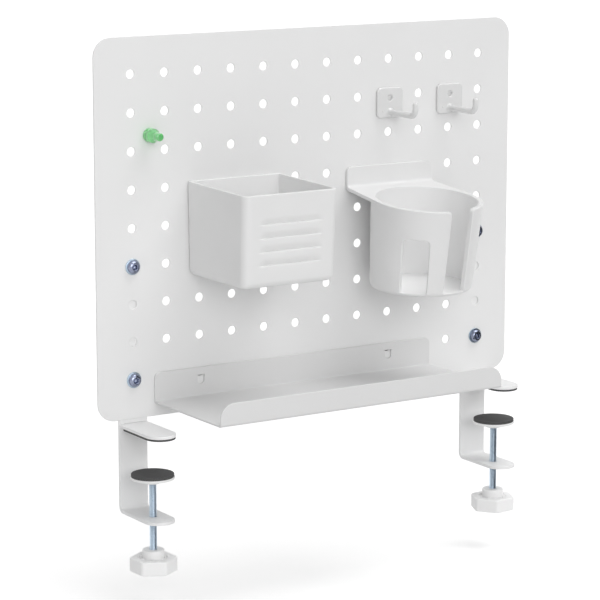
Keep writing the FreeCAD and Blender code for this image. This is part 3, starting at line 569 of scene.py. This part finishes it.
knob_corner = 18.7 * mm
knob_round = 3.5 * mm
knob_edge = 1.1 * mm
knob_height = 11.3 * mm
hub_radius = 8.8 * mm
groove_radius = 11.4 * mm
groove_depth = 2.2 * mm
pocket_depth = 5 * mm
pocket_bevel = 0.3 * mm
hub_bore = 3 * mm
bore_bevel = 0.4 * mm
bore_depth = 4 * mm
rib_start = 23  # degrees from the nearest corner
corner_steps = [-30, -27, -24, -21, -16, -10, -7, -5.5, -3.7, -1.85, 0,
                1.85, 3.7, 5.5, 7, 10, 16, 21, 24, 27]  # degrees, closest together where the side is round
groove = [("round", groove_radius + 0.3 * mm, 0), ("round", groove_radius, 0.3 * mm),
          ("groove", groove_radius - 0.2 * mm, groove_depth - 0.3 * mm),
          ("groove", groove_radius - 0.6 * mm, groove_depth), ("groove", hub_radius + 0.5 * mm, groove_depth),
          ("groove", hub_radius + 0.1 * mm, groove_depth - 0.4 * mm), ("round", hub_radius, -0.2 * mm)]


def quarter(radius, steps):
    """Quarter of a circle that rounds a corner, as distances of its points from the corner's two sides."""
    turns = [math.pi / 2 * step / steps for step in range(steps + 1)]
    return [(radius * (1 - math.sin(turn)), radius * (1 - math.cos(turn))) for turn in turns]


def knob_reach(off_corner, inset):
    """Distance from the axis to the knob's side, at an angle from the nearest corner."""
    corner_centre = knob_corner - knob_round
    off_corner = abs(off_corner)
    swell = knob_round - inset
    touch = math.atan2(swell / 2, corner_centre + swell * math.cos(math.pi / 6))
    if off_corner < touch:
        across = corner_centre * math.sin(off_corner)
        return corner_centre * math.cos(off_corner) + math.sqrt(swell ** 2 - across ** 2)
    flat = corner_centre * math.cos(math.pi / 6) + swell
    return flat / math.cos(math.pi / 6 - off_corner)


for side in ("left", "right"):
    low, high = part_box(side + "_knob")
    x, y = screw_axis[side]
    top = low.z + knob_height
    levels = [("round", hub_bore, low.z + pocket_depth), ("socket", head_flats, low.z + pocket_depth),
              ("socket", head_flats, low.z + pocket_bevel), ("socket", head_flats + 2 * pocket_bevel, low.z)]
    levels += [("side", inset, low.z + rise) for inset, rise in quarter(knob_edge, 5)]
    levels += [("side", inset, top - drop) for drop, inset in quarter(knob_edge, 5)]
    levels += [(kind, size, top - depth) for kind, size, depth in groove]
    levels += [("round", hub_radius - inset, high.z - drop) for drop, inset in quarter(knob_edge, 5)]
    levels += [("round", hub_bore + bore_bevel, high.z), ("round", hub_bore, high.z - bore_bevel),
               ("round", hub_bore, high.z - bore_depth)]
    rings = []
    for kind, size, height in levels:
        ring = []
        for corner in range(6):
            for step in corner_steps:
                angle = math.radians(knob_turn[side] + 60 * corner + step)
                reach, level = size, height
                if kind == "side":
                    reach = knob_reach(math.radians(step), size)
                if kind == "socket":
                    reach = hexagon_point(math.radians(step + 30), size).length
                if kind == "groove" and abs(step) > rib_start:
                    level = top
                ring.append((x + reach * math.cos(angle), y + reach * math.sin(angle), level))
        rings.append(ring)
    mount(side + "_hand_knob", [skin(rings, closed=False)], knob_abs,
          side + "_screw", side + "_knob")

# ----------------------------------------------------------------------
# Tray
# One 1.5 mm steel sheet with a floor and two upstands, open at both ends, and powder coated. Two tabs are
# lanced out of the back upstand, which leaves a window under each, and hook over the panel's bottom holes.

# The tray has the same powder as the panel, drawn a shade greyer: this is painted shade.
tray_coat_painted_shade = powder_coat("white_powder_coat_painted_shade", "#DCDCDC", "#E1E1E1")

face_gap = 0.2 * mm
rest_gap = 0.3 * mm
accessory_back = panel_low.y - face_gap
tray_sheet = 1.5 * mm
tray_bend = 1 * mm
tray_lip = 18.3 * mm
tray_top_corner = 5 * mm
tray_lip_corner = 12 * mm
tab_width = 5 * mm
tab_drop = 3 * mm
tab_edge = 0.15 * mm
tab_overlap = 0.4 * mm
window_half = 3.1 * mm
window_height = 7.2 * mm
window_corner = 2.5 * mm


def hook_rest(width):
    """How far below a hole's centre a tab or peg of a given width rests on the hole's edge, with its play."""
    return math.sqrt(hole_radius ** 2 - (width / 2) ** 2) - rest_gap


def lay_across(cut, x, width):
    """Turns a flat blank of a given thickness so that its outline lies in depth and height, centred on x."""
    for vert in cut.verts:
        vert.co = (x + vert.co.z - width / 2, vert.co.x, vert.co.y)
    return cut


low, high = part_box("tray")
tray_back = accessory_back - tray_sheet
back_drop = high.z - low.z - tray_sheet - tray_bend
floor_run = tray_back - low.y - tray_sheet - 2 * tray_bend
lip_rise = tray_lip - tray_sheet - tray_bend
bend_run = math.pi / 2 * tray_bend
tray_length = back_drop + floor_run + lip_rise + 2 * bend_run
tray_outline = rounded([
    (low.x, 0, tray_top_corner), (high.x, 0, tray_top_corner),
    (high.x, tray_length, tray_lip_corner), (low.x, tray_length, tray_lip_corner),
], 14)
tab_bottom = row_z(0) - hook_rest(tab_width)
tab_top = tab_bottom + tray_sheet
tab_root = tray_back + tab_overlap
tab_leg = face_gap + tray_sheet
tab = rounded([
    (tab_root, tab_bottom, 0), (face_gap, tab_bottom, 0), (face_gap, tab_bottom - tab_drop, 0),
    (tab_leg, tab_bottom - tab_drop, 0.4 * mm), (tab_leg, tab_top, 1.2 * mm), (tab_root, tab_top, 0),
], 5)
window_near = high.z - tab_bottom
window_far = window_near + window_height
tray_windows = []
tray_parts = []
for x in (column_x(2), column_x(8)):
    tray_windows.append(rounded([
        (x - window_half, window_near, 0), (x - window_half, window_far, window_corner),
        (x + window_half, window_far, window_corner), (x + window_half, window_near, 0),
    ], 6))
    tray_parts.append(lay_across(cut_blank(tab, [], tab_width, tab_edge), x, tab_width))
tray_parts.append(fold(cut_blank(tray_outline, tray_windows, tray_sheet, coated_edge), (tray_back, high.z),
                       -math.pi / 2, [(back_drop, math.pi / 2, tray_bend),
                                      (back_drop + bend_run + floor_run, math.pi / 2, tray_bend)]))
mount("bent_tray", tray_parts, tray_coat_painted_shade, "tray", "tray")

# ----------------------------------------------------------------------
# Pen cup
# Injection-moulded square box, drafted so that it leaves the mould, with four scooped louvres across its
# front. Two hooked pegs on its back go through the panel's holes and drop behind the sheet.

# The cups' plastic is a shade greyer than the knobs'.
cup_abs = moulded_abs("pale_textured_abs", "#E5E5E5", "#EAEAEA")

cup_low, cup_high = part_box("pen_cup")
cup_x = (cup_low.x + cup_high.x) / 2
cup_height = 74.8 * mm
cup_half = 42.9 * mm
cup_side_draft = 1 * mm
cup_front_draft = 3.9 * mm
cup_front_round = 6 * mm
cup_back_round = 3 * mm
cup_wall = 2.2 * mm
cup_front_wall = 3.2 * mm
cup_floor = 2.4 * mm
cup_bottom_round = 5 * mm
cup_inner_round = 2 * mm
cup_rim_round = 0.7 * mm
cup_rim_fall = 2 * mm
louvre_count = 4
louvre_drop = 26 * mm
louvre_spacing = 10.7 * mm
louvre_height = 6.4 * mm
louvre_half = 29.75 * mm
louvre_depth = 2.1 * mm
louvre_ledge = 0.15  # of its height: where it is deepest
louvre_end = 0.3  # of its half width: where it fades out
louvre_steps = (0, 0.05, 0.1, 0.15, 0.22, 0.32, 0.45, 0.6, 0.8, 1)
peg_width = 3.4 * mm
peg_height = 3 * mm
peg_drop = 2.9 * mm
peg_reach = 2.8 * mm
peg_edge = 0.3 * mm
peg_overlap = 1 * mm


def peg(x, hole_z):
    """Hooked peg: its neck rests on the edge of a hole, and its leg hangs down behind the panel."""
    root = accessory_back - peg_overlap
    neck = hole_z - hook_rest(peg_width)
    outline = rounded([
        (root, neck, 0), (face_gap, neck, 0), (face_gap, neck - peg_drop, 0.6 * mm),
        (peg_reach, neck - peg_drop, 0.6 * mm), (peg_reach, neck + peg_height, 1.2 * mm),
        (root, neck + peg_height, 0),
    ], 5)
    return lay_across(cut_blank(outline, [], peg_width, peg_edge), x, peg_width)


def smooth_step(value):
    """Rises softly from 0 to 1 as the value does."""
    value = max(0, min(1, value))
    return value * value * (3 - 2 * value)


def louvre_press(x, z):
    """How far the front wall is pressed in at a point, by the louvre that crosses it."""
    for index in range(louvre_count):
        rise = (z - cup_high.z + louvre_drop + index * louvre_spacing) / louvre_height
        if 0 <= rise <= 1:
            ends = smooth_step((1 - abs(x - cup_x) / louvre_half) / louvre_end)
            scoop = smooth_step(rise / louvre_ledge)
            if rise > louvre_ledge:
                scoop = (1 - (rise - louvre_ledge) / (1 - louvre_ledge)) ** 1.6
            return louvre_depth * ends * scoop
    return 0


def cup_ring(z, inset, inset_front, pressed=False):
    """Outline of the cup at a height, moved in from its outside."""
    fall = (cup_high.z - z) / cup_height
    half = cup_half - cup_side_draft * fall - inset
    front = cup_low.y + cup_front_draft * fall + inset_front
    rear = accessory_back - inset
    front_round = max(cup_front_round - inset, 1 * mm)
    rear_round = max(cup_back_round - inset, 0.8 * mm)
    side_front = front + front_round
    side_run = side_front - rear + rear_round
    ring = [(-half, rear - rear_round + side_run * step / 8) for step in range(8)]
    ring += [(-half + right, front + back) for back, right in quarter(front_round, 10)]
    for step in range(1, 64):
        x = (half - front_round) * (2 * step / 64 - 1)
        ring.append((x, front + (louvre_press(cup_x + x, z) if pressed else 0)))
    ring += [(half - left, front + back) for left, back in quarter(front_round, 10)]
    ring += [(half, side_front - side_run * step / 8) for step in range(1, 8)]
    ring += [(half - left, rear - ahead) for ahead, left in quarter(rear_round, 5)]
    ring += [(-half + right, rear - ahead) for right, ahead in quarter(rear_round, 5)[:-1]]
    near_rim = smooth_step(1 - (cup_high.z - z) / (louvre_drop - louvre_height))
    slant = cup_rim_fall * near_rim / (accessory_back - cup_low.y)
    return [(cup_x + x, y, z - slant * (accessory_back - y)) for x, y in ring]


rings = [cup_ring(cup_low.z + rise, inset, inset) for inset, rise in quarter(cup_bottom_round, 6)]
heights = [cup_low.z + 9 * mm, cup_low.z + 13 * mm]
for index in reversed(range(louvre_count)):
    ledge = cup_high.z - louvre_drop - index * louvre_spacing
    heights += [ledge + louvre_height * step for step in louvre_steps]
heights += [cup_high.z - louvre_drop + louvre_height + 5 * mm, cup_high.z - 6 * mm, cup_high.z - 2 * mm]
rings += [cup_ring(height, 0, 0, pressed=True) for height in heights]
rings += [cup_ring(cup_high.z - drop, inset, inset) for drop, inset in quarter(cup_rim_round, 4)]
rings += [cup_ring(cup_high.z - drop, cup_wall - outward, cup_front_wall - outward)
          for outward, drop in quarter(cup_rim_round, 4)]
inside = cup_low.z + cup_floor
rings += [cup_ring(height, cup_wall, cup_front_wall)
          for height in (cup_high.z - 20 * mm, inside + 20 * mm, inside + 4 * mm)]
rings += [cup_ring(inside + rise, cup_wall + inset, cup_front_wall + inset)
          for rise, inset in quarter(cup_inner_round, 4)]
cup_parts = [skin(rings)] + [peg(column_x(column), row_z(4)) for column in (2, 4)]
pen_cup = mount("moulded_pen_cup", cup_parts, cup_abs, "pen_cup", "pen_cup")


def paint_light_inside(piece, finish, centre, reach, top):
    """Gives another finish to the faces that look at a hollow's axis and to the floor of the hollow. That
    finish is a paler one, which paints light into the shaded hollow.
    """
    corner_reach = 1.45 * reach
    piece.data.materials.append(finish)
    for face in piece.data.polygons:
        out = face.center - centre
        within = math.hypot(out.x, out.y) < corner_reach and face.center.z < top
        inward = out.x * face.normal.x + out.y * face.normal.y < -0.5 * reach
        floor = face.normal.z > 0.7 and out.z < 0
        if within and (inward or floor):
            face.material_index = 1


# The hollows get the same plastic a shade paler: painted light, which lifts the shade inside them.
inside_abs_painted_light = moulded_abs("abs_painted_lighter_inside", "#EDEDED", "#F2F2F2")
cup_middle = Vector((cup_x, (cup_low.y + accessory_back) / 2, cup_low.z + 5 * mm))
paint_light_inside(pen_cup, inside_abs_painted_light, cup_middle, cup_half - cup_wall, cup_high.z - 0.8 * mm)

# ----------------------------------------------------------------------
# Cup holder
# Injection moulding: a back plate that turns over into a sloping shelf, and a round cup that hangs from it,
# leaning back a little. The cup's wall is open in front for a mug's handle, with a window beside it.

holder_x = column_x(8)
holder_sheet = 3 * mm
plate_half = 42 * mm
plate_top = row_z(5) + 3.9 * mm
plate_corner = 4 * mm
shelf_bend = 2.5 * mm
shelf_edge = 0.6 * mm
shelf_bore = 42.6 * mm
shelf_touch = math.radians(3.38)  # from straight across: where the shelf's sides meet the rim
shelf_lift = 0.02 * mm  # so that its top does not lie in the rim's
holder_tilt = math.radians(6.4)
base_tilt = math.radians(3.9)
rim_centre = Vector((holder_x, panel_low.y - 55.9 * mm, row_z(5) - 18.5 * mm))
rim_radius = 45.4 * mm
base_radius = 41.4 * mm
holder_wall = 4.2 * mm
holder_depth = 74 * mm
holder_floor = 3 * mm
holder_base_round = 4 * mm
holder_edge = 0.8 * mm
opening_half = 11 * mm
opening_foot_round = 1 * mm
slot_direction = 6  # degrees from the front
slot_mouth_round = 3.5 * mm
window_direction = -44
window_fall = 25 * mm
window_round = 4 * mm


def holder_point(angle, radius, rise):
    """Point of the cup: angle from the front, distance from its axis and share of the height, base to rim."""
    base = -holder_depth + math.tan(base_tilt) * radius * math.cos(angle)
    spot = Vector((radius * math.sin(angle), -radius * math.cos(angle), base * (1 - rise)))
    return rim_centre + Matrix.Rotation(holder_tilt, 3, "X") @ spot


def opening_side(direction, way, top, top_round):
    """Foot and top of one side of an opening in the unrolled wall. The two sides are parallel on the cup."""
    side = []
    for height, corner in ((holder_floor, opening_foot_round), (top, top_round)):
        radius = base_radius + (rim_radius - base_radius) * height / holder_depth
        angle = math.radians(direction) + way * math.asin(opening_half / radius)
        side.append((angle * rim_radius, height, corner))
    return side


wall_end = math.radians(181) * rim_radius  # so that the wall's two ends overlap at the back
slot_left, slot_right = [opening_side(slot_direction, way, holder_depth, slot_mouth_round) for way in (-1, 1)]
wall_outline = rounded([(-wall_end, 0, 0), (wall_end, 0, 0), (wall_end, holder_depth, 0)] + slot_right[::-1]
                       + slot_left + [(-wall_end, holder_depth, 0)], 8)
window_top = holder_depth - window_fall
window_left, window_right = [opening_side(window_direction, way, window_top, window_round) for way in (-1, 1)]
window = rounded(window_left + window_right[::-1], 8)
wall = cut_blank(wall_outline, [window], holder_wall, holder_edge)
# It is scored every three degrees round the cup, and across where its base is rounded.
for index in range(-60, 61):
    score(wall, (math.radians(3 * index) * rim_radius, 0, 0), (1, 0, 0))
for rise in (0.3, 0.8, 1.4, 2.1, 3, 4, 8, 30, 60):
    score(wall, (0, rise * mm, 0), (0, 1, 0))
for vert in wall.verts:
    along, rise, out = vert.co
    outside = base_radius + (rim_radius - base_radius) * rise / holder_depth
    inside = outside - holder_wall
    short = max(0, holder_base_round - rise)
    outside -= holder_base_round - math.sqrt(holder_base_round ** 2 - short ** 2)
    radius = inside + (outside - inside) * out / holder_wall
    vert.co = holder_point(along / rim_radius, radius, rise / holder_depth)

# The floor's rings, as radius and rise in millimetres, end inside the wall.
floor_rings = []
for radius, rise in ((0, 0), (20, 0), (37.3, 0), (38.4, 0.8), (38.4, 2.96), (20, 2.96), (0, 2.96)):
    floor_rings.append([holder_point(2 * math.pi * index / 96, radius * mm, rise * mm / holder_depth)
                        for index in range(96)])

plate_front = accessory_back - holder_sheet
shelf_level = rim_centre.z + shelf_lift + (plate_front - rim_centre.y) * math.tan(holder_tilt)
shelf_angle = math.pi / 2 - holder_tilt
bend_reach = shelf_bend * math.tan(shelf_angle / 2)
bend_at = plate_top - shelf_level - bend_reach
bend_end = bend_at + shelf_bend * shelf_angle
centre_at = bend_end + (plate_front - rim_centre.y) / math.cos(holder_tilt) - bend_reach
bore_angles = [shelf_touch + (math.pi - 2 * shelf_touch) * step / 48 for step in range(49)]
shelf_outline = rounded([
    (-plate_half, bend_end, 0), (-plate_half, 0, plate_corner), (plate_half, 0, plate_corner),
    (plate_half, bend_end, 0),
], 8)
rim_touch = (rim_radius * math.cos(shelf_touch), centre_at - rim_radius * math.sin(shelf_touch))
shelf_outline.append(rim_touch)
shelf_outline += [(shelf_bore * math.cos(a), centre_at - shelf_bore * math.sin(a)) for a in bore_angles]
shelf_outline.append((-rim_touch[0], rim_touch[1]))
shelf = fold(cut_blank(shelf_outline, [], holder_sheet, shelf_edge), (plate_front, plate_top), -math.pi / 2,
             [(bend_at, shelf_angle, shelf_bend)])
bmesh.ops.translate(shelf, verts=shelf.verts, vec=(holder_x, 0, 0))
holder_parts = [wall, skin(floor_rings, closed=False), shelf]
holder_parts += [peg(column_x(column), row_z(5)) for column in (7, 9)]
cup_holder = mount("moulded_cup_holder", holder_parts, cup_abs, "cup_holder",
                   "cup_holder")
holder_middle = rim_centre - Vector((0, 0, holder_depth - 10 * mm))
paint_light_inside(cup_holder, inside_abs_painted_light, holder_middle, base_radius - holder_wall, rim_centre.z - 1 * mm)

# ----------------------------------------------------------------------
# Hooks
# Small injection mouldings: a square plate with soft edges, a round arm with an upturned tip, and a hooked
# peg behind. A shallow dimple above the arm and a dot from the mould's gate are left in the plate.

# The hooks' mould is polished, so the same plastic comes out glossy.
hook_abs = moulded_abs("white_glossy_abs", "#DEDEDE", "#E4E4E4", gloss=(0.12, 0.22))

hook_half = 12.5 * mm
hook_thickness = 2.6 * mm
hook_corner = 4 * mm
hook_edge = 1 * mm
dimple_radius = 2.3 * mm
backing_radius = 2.6 * mm
dimple_floor = 1.2 * mm
dimple_drop = 2 * mm
gate_offset = 7 * mm
gate_profile = [(0, 0), (0.8 * mm, 0), (0.75 * mm, 0.12 * mm), (0, 0.15 * mm)]
arm_drop = 8 * mm
arm_radius = 2.4 * mm
arm_flare = 1.4 * mm
arm_flare_run = 3 * mm
arm_root_radius = 4.2 * mm
arm_bend = 6 * mm
arm_rise = 11.7 * mm


def swept(path, radii, x, facets=32):
    """Round bar along a path of depths and heights, whose radius changes from point to point."""
    rings = []
    for index, (point, radius) in enumerate(zip(path, radii)):
        before = Vector(path[max(index - 1, 0)])
        after = Vector(path[min(index + 1, len(path) - 1)])
        way = (after - before).normalized()
        ring = []
        for step in range(facets):
            angle = 2 * math.pi * step / facets
            off = Vector((-way.y, way.x)) * radius * math.sin(angle)
            ring.append((x + radius * math.cos(angle), point[0] + off.x, point[1] + off.y))
        rings.append(ring)
    return skin(rings)


for side in ("left", "right"):
    low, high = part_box(side + "_hook")
    x = (low.x + high.x) / 2
    middle = high.z - hook_half
    hook_front = accessory_back - hook_thickness
    arm_z = middle - arm_drop
    dimple_z = row_z(7) - dimple_drop
    outline = rounded([(x + u * hook_half, middle + v * hook_half, hook_corner)
                       for u, v in ((-1, -1), (1, -1), (1, 1), (-1, 1))], 8)
    plate = stand_up(cut_blank(outline, [circle(x, dimple_z, dimple_radius)], hook_thickness, hook_edge),
                     accessory_back)
    dimple = turned([(0, 0), (backing_radius, 0), (backing_radius, dimple_floor), (0, dimple_floor)],
                    (x, accessory_back, dimple_z), (0, -1, 0), 32)
    gate = turned(gate_profile, (x - gate_offset, hook_front, middle - gate_offset), (0, -1, 0), 24)
    path = [(hook_front + 1 * mm, arm_z)]
    radii = [arm_root_radius]
    for step in range(9):
        path.append((hook_front - arm_flare_run * step / 8, arm_z))
        radii.append(arm_radius + arm_flare * (1 - math.sqrt(1 - (1 - step / 8) ** 2)))
    tip = low.y + arm_radius
    for run, rise in quarter(arm_bend, 12):
        path.append((tip + run, arm_z + rise))
        radii.append(arm_radius)
    for drop, inset in quarter(arm_radius, 6):
        path.append((tip, arm_z + arm_rise - drop))
        radii.append(max(arm_radius - inset, 0.02 * arm_radius))
    hook_parts = [plate, dimple, gate, swept(path, radii, x), peg(x, row_z(7))]
    mount(side + "_moulded_hook", hook_parts, hook_abs, side + "_hook",
          side + "_hook")

# ----------------------------------------------------------------------
# Push pin
# Clear green polystyrene moulded round a disc magnet, so that it holds anywhere on the steel panel. It has
# a wide base, a waist, a flange and a slim grip.

# Tinted polystyrene: clear and glossy, IOR 1.59. Part of the light goes through it. Its dye isn't quite
# even, which shows as soft swirls of about 6 mm.
tinted_styrene = new_finish("clear_green_styrene", ("#7CF08E", "#A8FBB4"), patches=(6 * mm, 2),
                            Roughness=0.06, IOR=1.59, Transmission_Weight=0.6, Coat_Weight=1.0)

# Nickel plate on the magnet: bright and slightly warm, with faint patches about 0.6 mm across from the bath.
nickel_plate = new_finish("bright_nickel_plate", ("#C4BFB6", "#D6D2CB"), patches=(0.6 * mm, 2), Metallic=1.0,
                          Roughness=0.2)
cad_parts["pin_magnet"].material_slots[0].material = nickel_plate

low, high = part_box("pin_body")
pin_centre = ((low.x + high.x) / 2, high.y, (low.z + high.z) / 2)
pin_profile = rounded([(radius * mm, height * mm, edge * mm) for radius, height, edge in (
    (0, 2.3, 0), (4, 2.3, 0), (4, 0, 0.1), (5.7, 0, 0.5), (5.7, 3.2, 1.1), (4.3, 4.0, 0.5), (5.6, 4.8, 0.6),
    (5.6, 7.4, 1.0), (3.2, 11, 2.4), (3.2, 18, 1.2), (0, 18, 0))], 5)
mount("magnet_pin", [turned(pin_profile, pin_centre, (0, -1, 0), 64)], tinted_styrene,
      "push_pin", "pin_body")

# ----------------------------------------------------------------------
# Stage: floor, lamps and camera
# The clamps hold on to a desk top, so the floor is not what the object stands on. It lies a little lower
# than the knobs reach when the clamps are opened all the way, which is 29.5 mm below where they rest.

knob_fall = 29.5 * mm
floor_level = cad_box[0].z - knob_fall - 1 * mm


def stage_piece(name, points, faces):
    """Flat piece of the stage, which is no part of the object."""
    mesh = bpy.data.meshes.new(name)
    mesh.from_pydata(points, [], faces)
    piece = bpy.data.objects.new(name, mesh)
    scene.collection.objects.link(piece)
    return piece


def seen(finish):
    """1 for what the camera sees, also in a reflection or through a clear piece, and 0 for stray light."""
    ray = add_node(finish, "ShaderNodeLightPath", {})
    direct = add_node(finish, "ShaderNodeMath", {
        0: ray.outputs["Is Camera Ray"], 1: ray.outputs["Is Glossy Ray"],
    }, operation="MAXIMUM")
    return add_node(finish, "ShaderNodeMath", {
        0: direct.outputs[0], 1: ray.outputs["Is Transmission Ray"],
    }, operation="MAXIMUM").outputs[0]


# Pale paper, which is lifted towards white where it is seen, so that the floor fades into the backdrop.
pale_paper = bpy.data.materials.new("pale_paper")
pale_paper.use_nodes = True
pale_paper.node_tree.nodes.clear()
lift = add_node(pale_paper, "ShaderNodeMath", {0: seen(pale_paper), 1: 0.42}, operation="MULTIPLY")
glow = add_node(pale_paper, "ShaderNodeEmission", {"Color": (1, 1, 1, 1), "Strength": lift.outputs[0]})
paper = add_node(pale_paper, "ShaderNodeBsdfDiffuse", {"Color": hex_colour("#E6E6E6")})
both = add_node(pale_paper, "ShaderNodeAddShader", {0: paper.outputs[0], 1: glow.outputs[0]})
add_node(pale_paper, "ShaderNodeOutputMaterial", {"Surface": both.outputs[0]})
floor = stage_piece("floor", [(x, y, floor_level) for x, y in ((-12, -12), (12, -12), (12, 12), (-12, 12))],
                    [(0, 1, 2, 3)])
floor.data.materials.append(pale_paper)

# The backdrop is white where it is seen, and lights the object with about a third of that.
world = bpy.data.worlds.new("studio")
scene.world = world
world.use_nodes = True
world.node_tree.nodes.clear()
level = add_node(world, "ShaderNodeMapRange", {"Value": seen(world), "To Min": 0.35, "To Max": 1.0})
sky = add_node(world, "ShaderNodeBackground", {"Color": (1, 1, 1, 1), "Strength": level.outputs["Result"]})
add_node(world, "ShaderNodeOutputWorld", {"Surface": sky.outputs[0]})


def lamp(name, toward, energy, spread):
    """Soft lamp far away, in the given direction from the object."""
    light = bpy.data.lights.new(name, "SUN")
    light.energy = energy
    light.angle = math.radians(spread)
    place = bpy.data.objects.new(name, light)
    scene.collection.objects.link(place)
    place.rotation_mode = "QUATERNION"
    place.rotation_quaternion = Vector(toward).to_track_quat("Z", "Y")


# The key lamp hangs above. Two weaker ones fill from the front and the left, and one from behind.
lamp("key", (0.3, -0.28, 1.0), 1.38, 45)
lamp("front", (0.1, -1.0, 0.2), 0.42, 40)
lamp("side", (-0.36, -0.9, 0.35), 0.72, 30)
lamp("back", (-0.2, 1.0, 0.5), 0.45, 60)

# Dark card with a floor and two walls, to the right in front of the clamps. Only shiny surfaces see it: it
# gives the zinc its dark edge.
card_low = floor_level + 1 * mm
card_high = floor_level + 0.8
card = stage_piece("black_card", [
    (-0.1, -0.09, card_low), (0.06, -0.5, card_low), (0.7, -0.5, card_low), (0.7, 0.02, card_low),
    (0.06, -0.5, card_high), (0.7, -0.5, card_high), (0.7, 0.02, card_high), (0.17, -0.06, card_low),
], [(0, 1, 2, 3, 7), (1, 2, 5, 4), (2, 3, 6, 5)])
card.visible_camera = card.visible_diffuse = card.visible_shadow = card.visible_transmission = False
card_paint = new_finish("black_card", ("#4A4A4A", "#4A4A4A"), patches=(90 * mm, 2), Roughness=0.9)
card.data.materials.append(card_paint)

# A long lens, to the left of the object's front and a little above its middle.
camera = bpy.data.cameras.new("camera")
camera.lens = 158.46
camera.sensor_width = 36
camera_aim = Vector((-0.0107, -0.0015, 0.087))
camera_distance = 2.1425
azimuth = math.radians(-32.4397)
elevation = math.radians(10.645)
back = Matrix.Rotation(azimuth, 3, "Z") @ Vector((0, -math.cos(elevation), math.sin(elevation)))
camera_place = bpy.data.objects.new("camera", camera)
scene.collection.objects.link(camera_place)
camera_place.location = camera_aim + back * camera_distance
camera_place.rotation_mode = "QUATERNION"
camera_place.rotation_quaternion = (-back).to_track_quat("-Z", "Y")
scene.camera = camera_place

scene.view_settings.view_transform = "Standard"
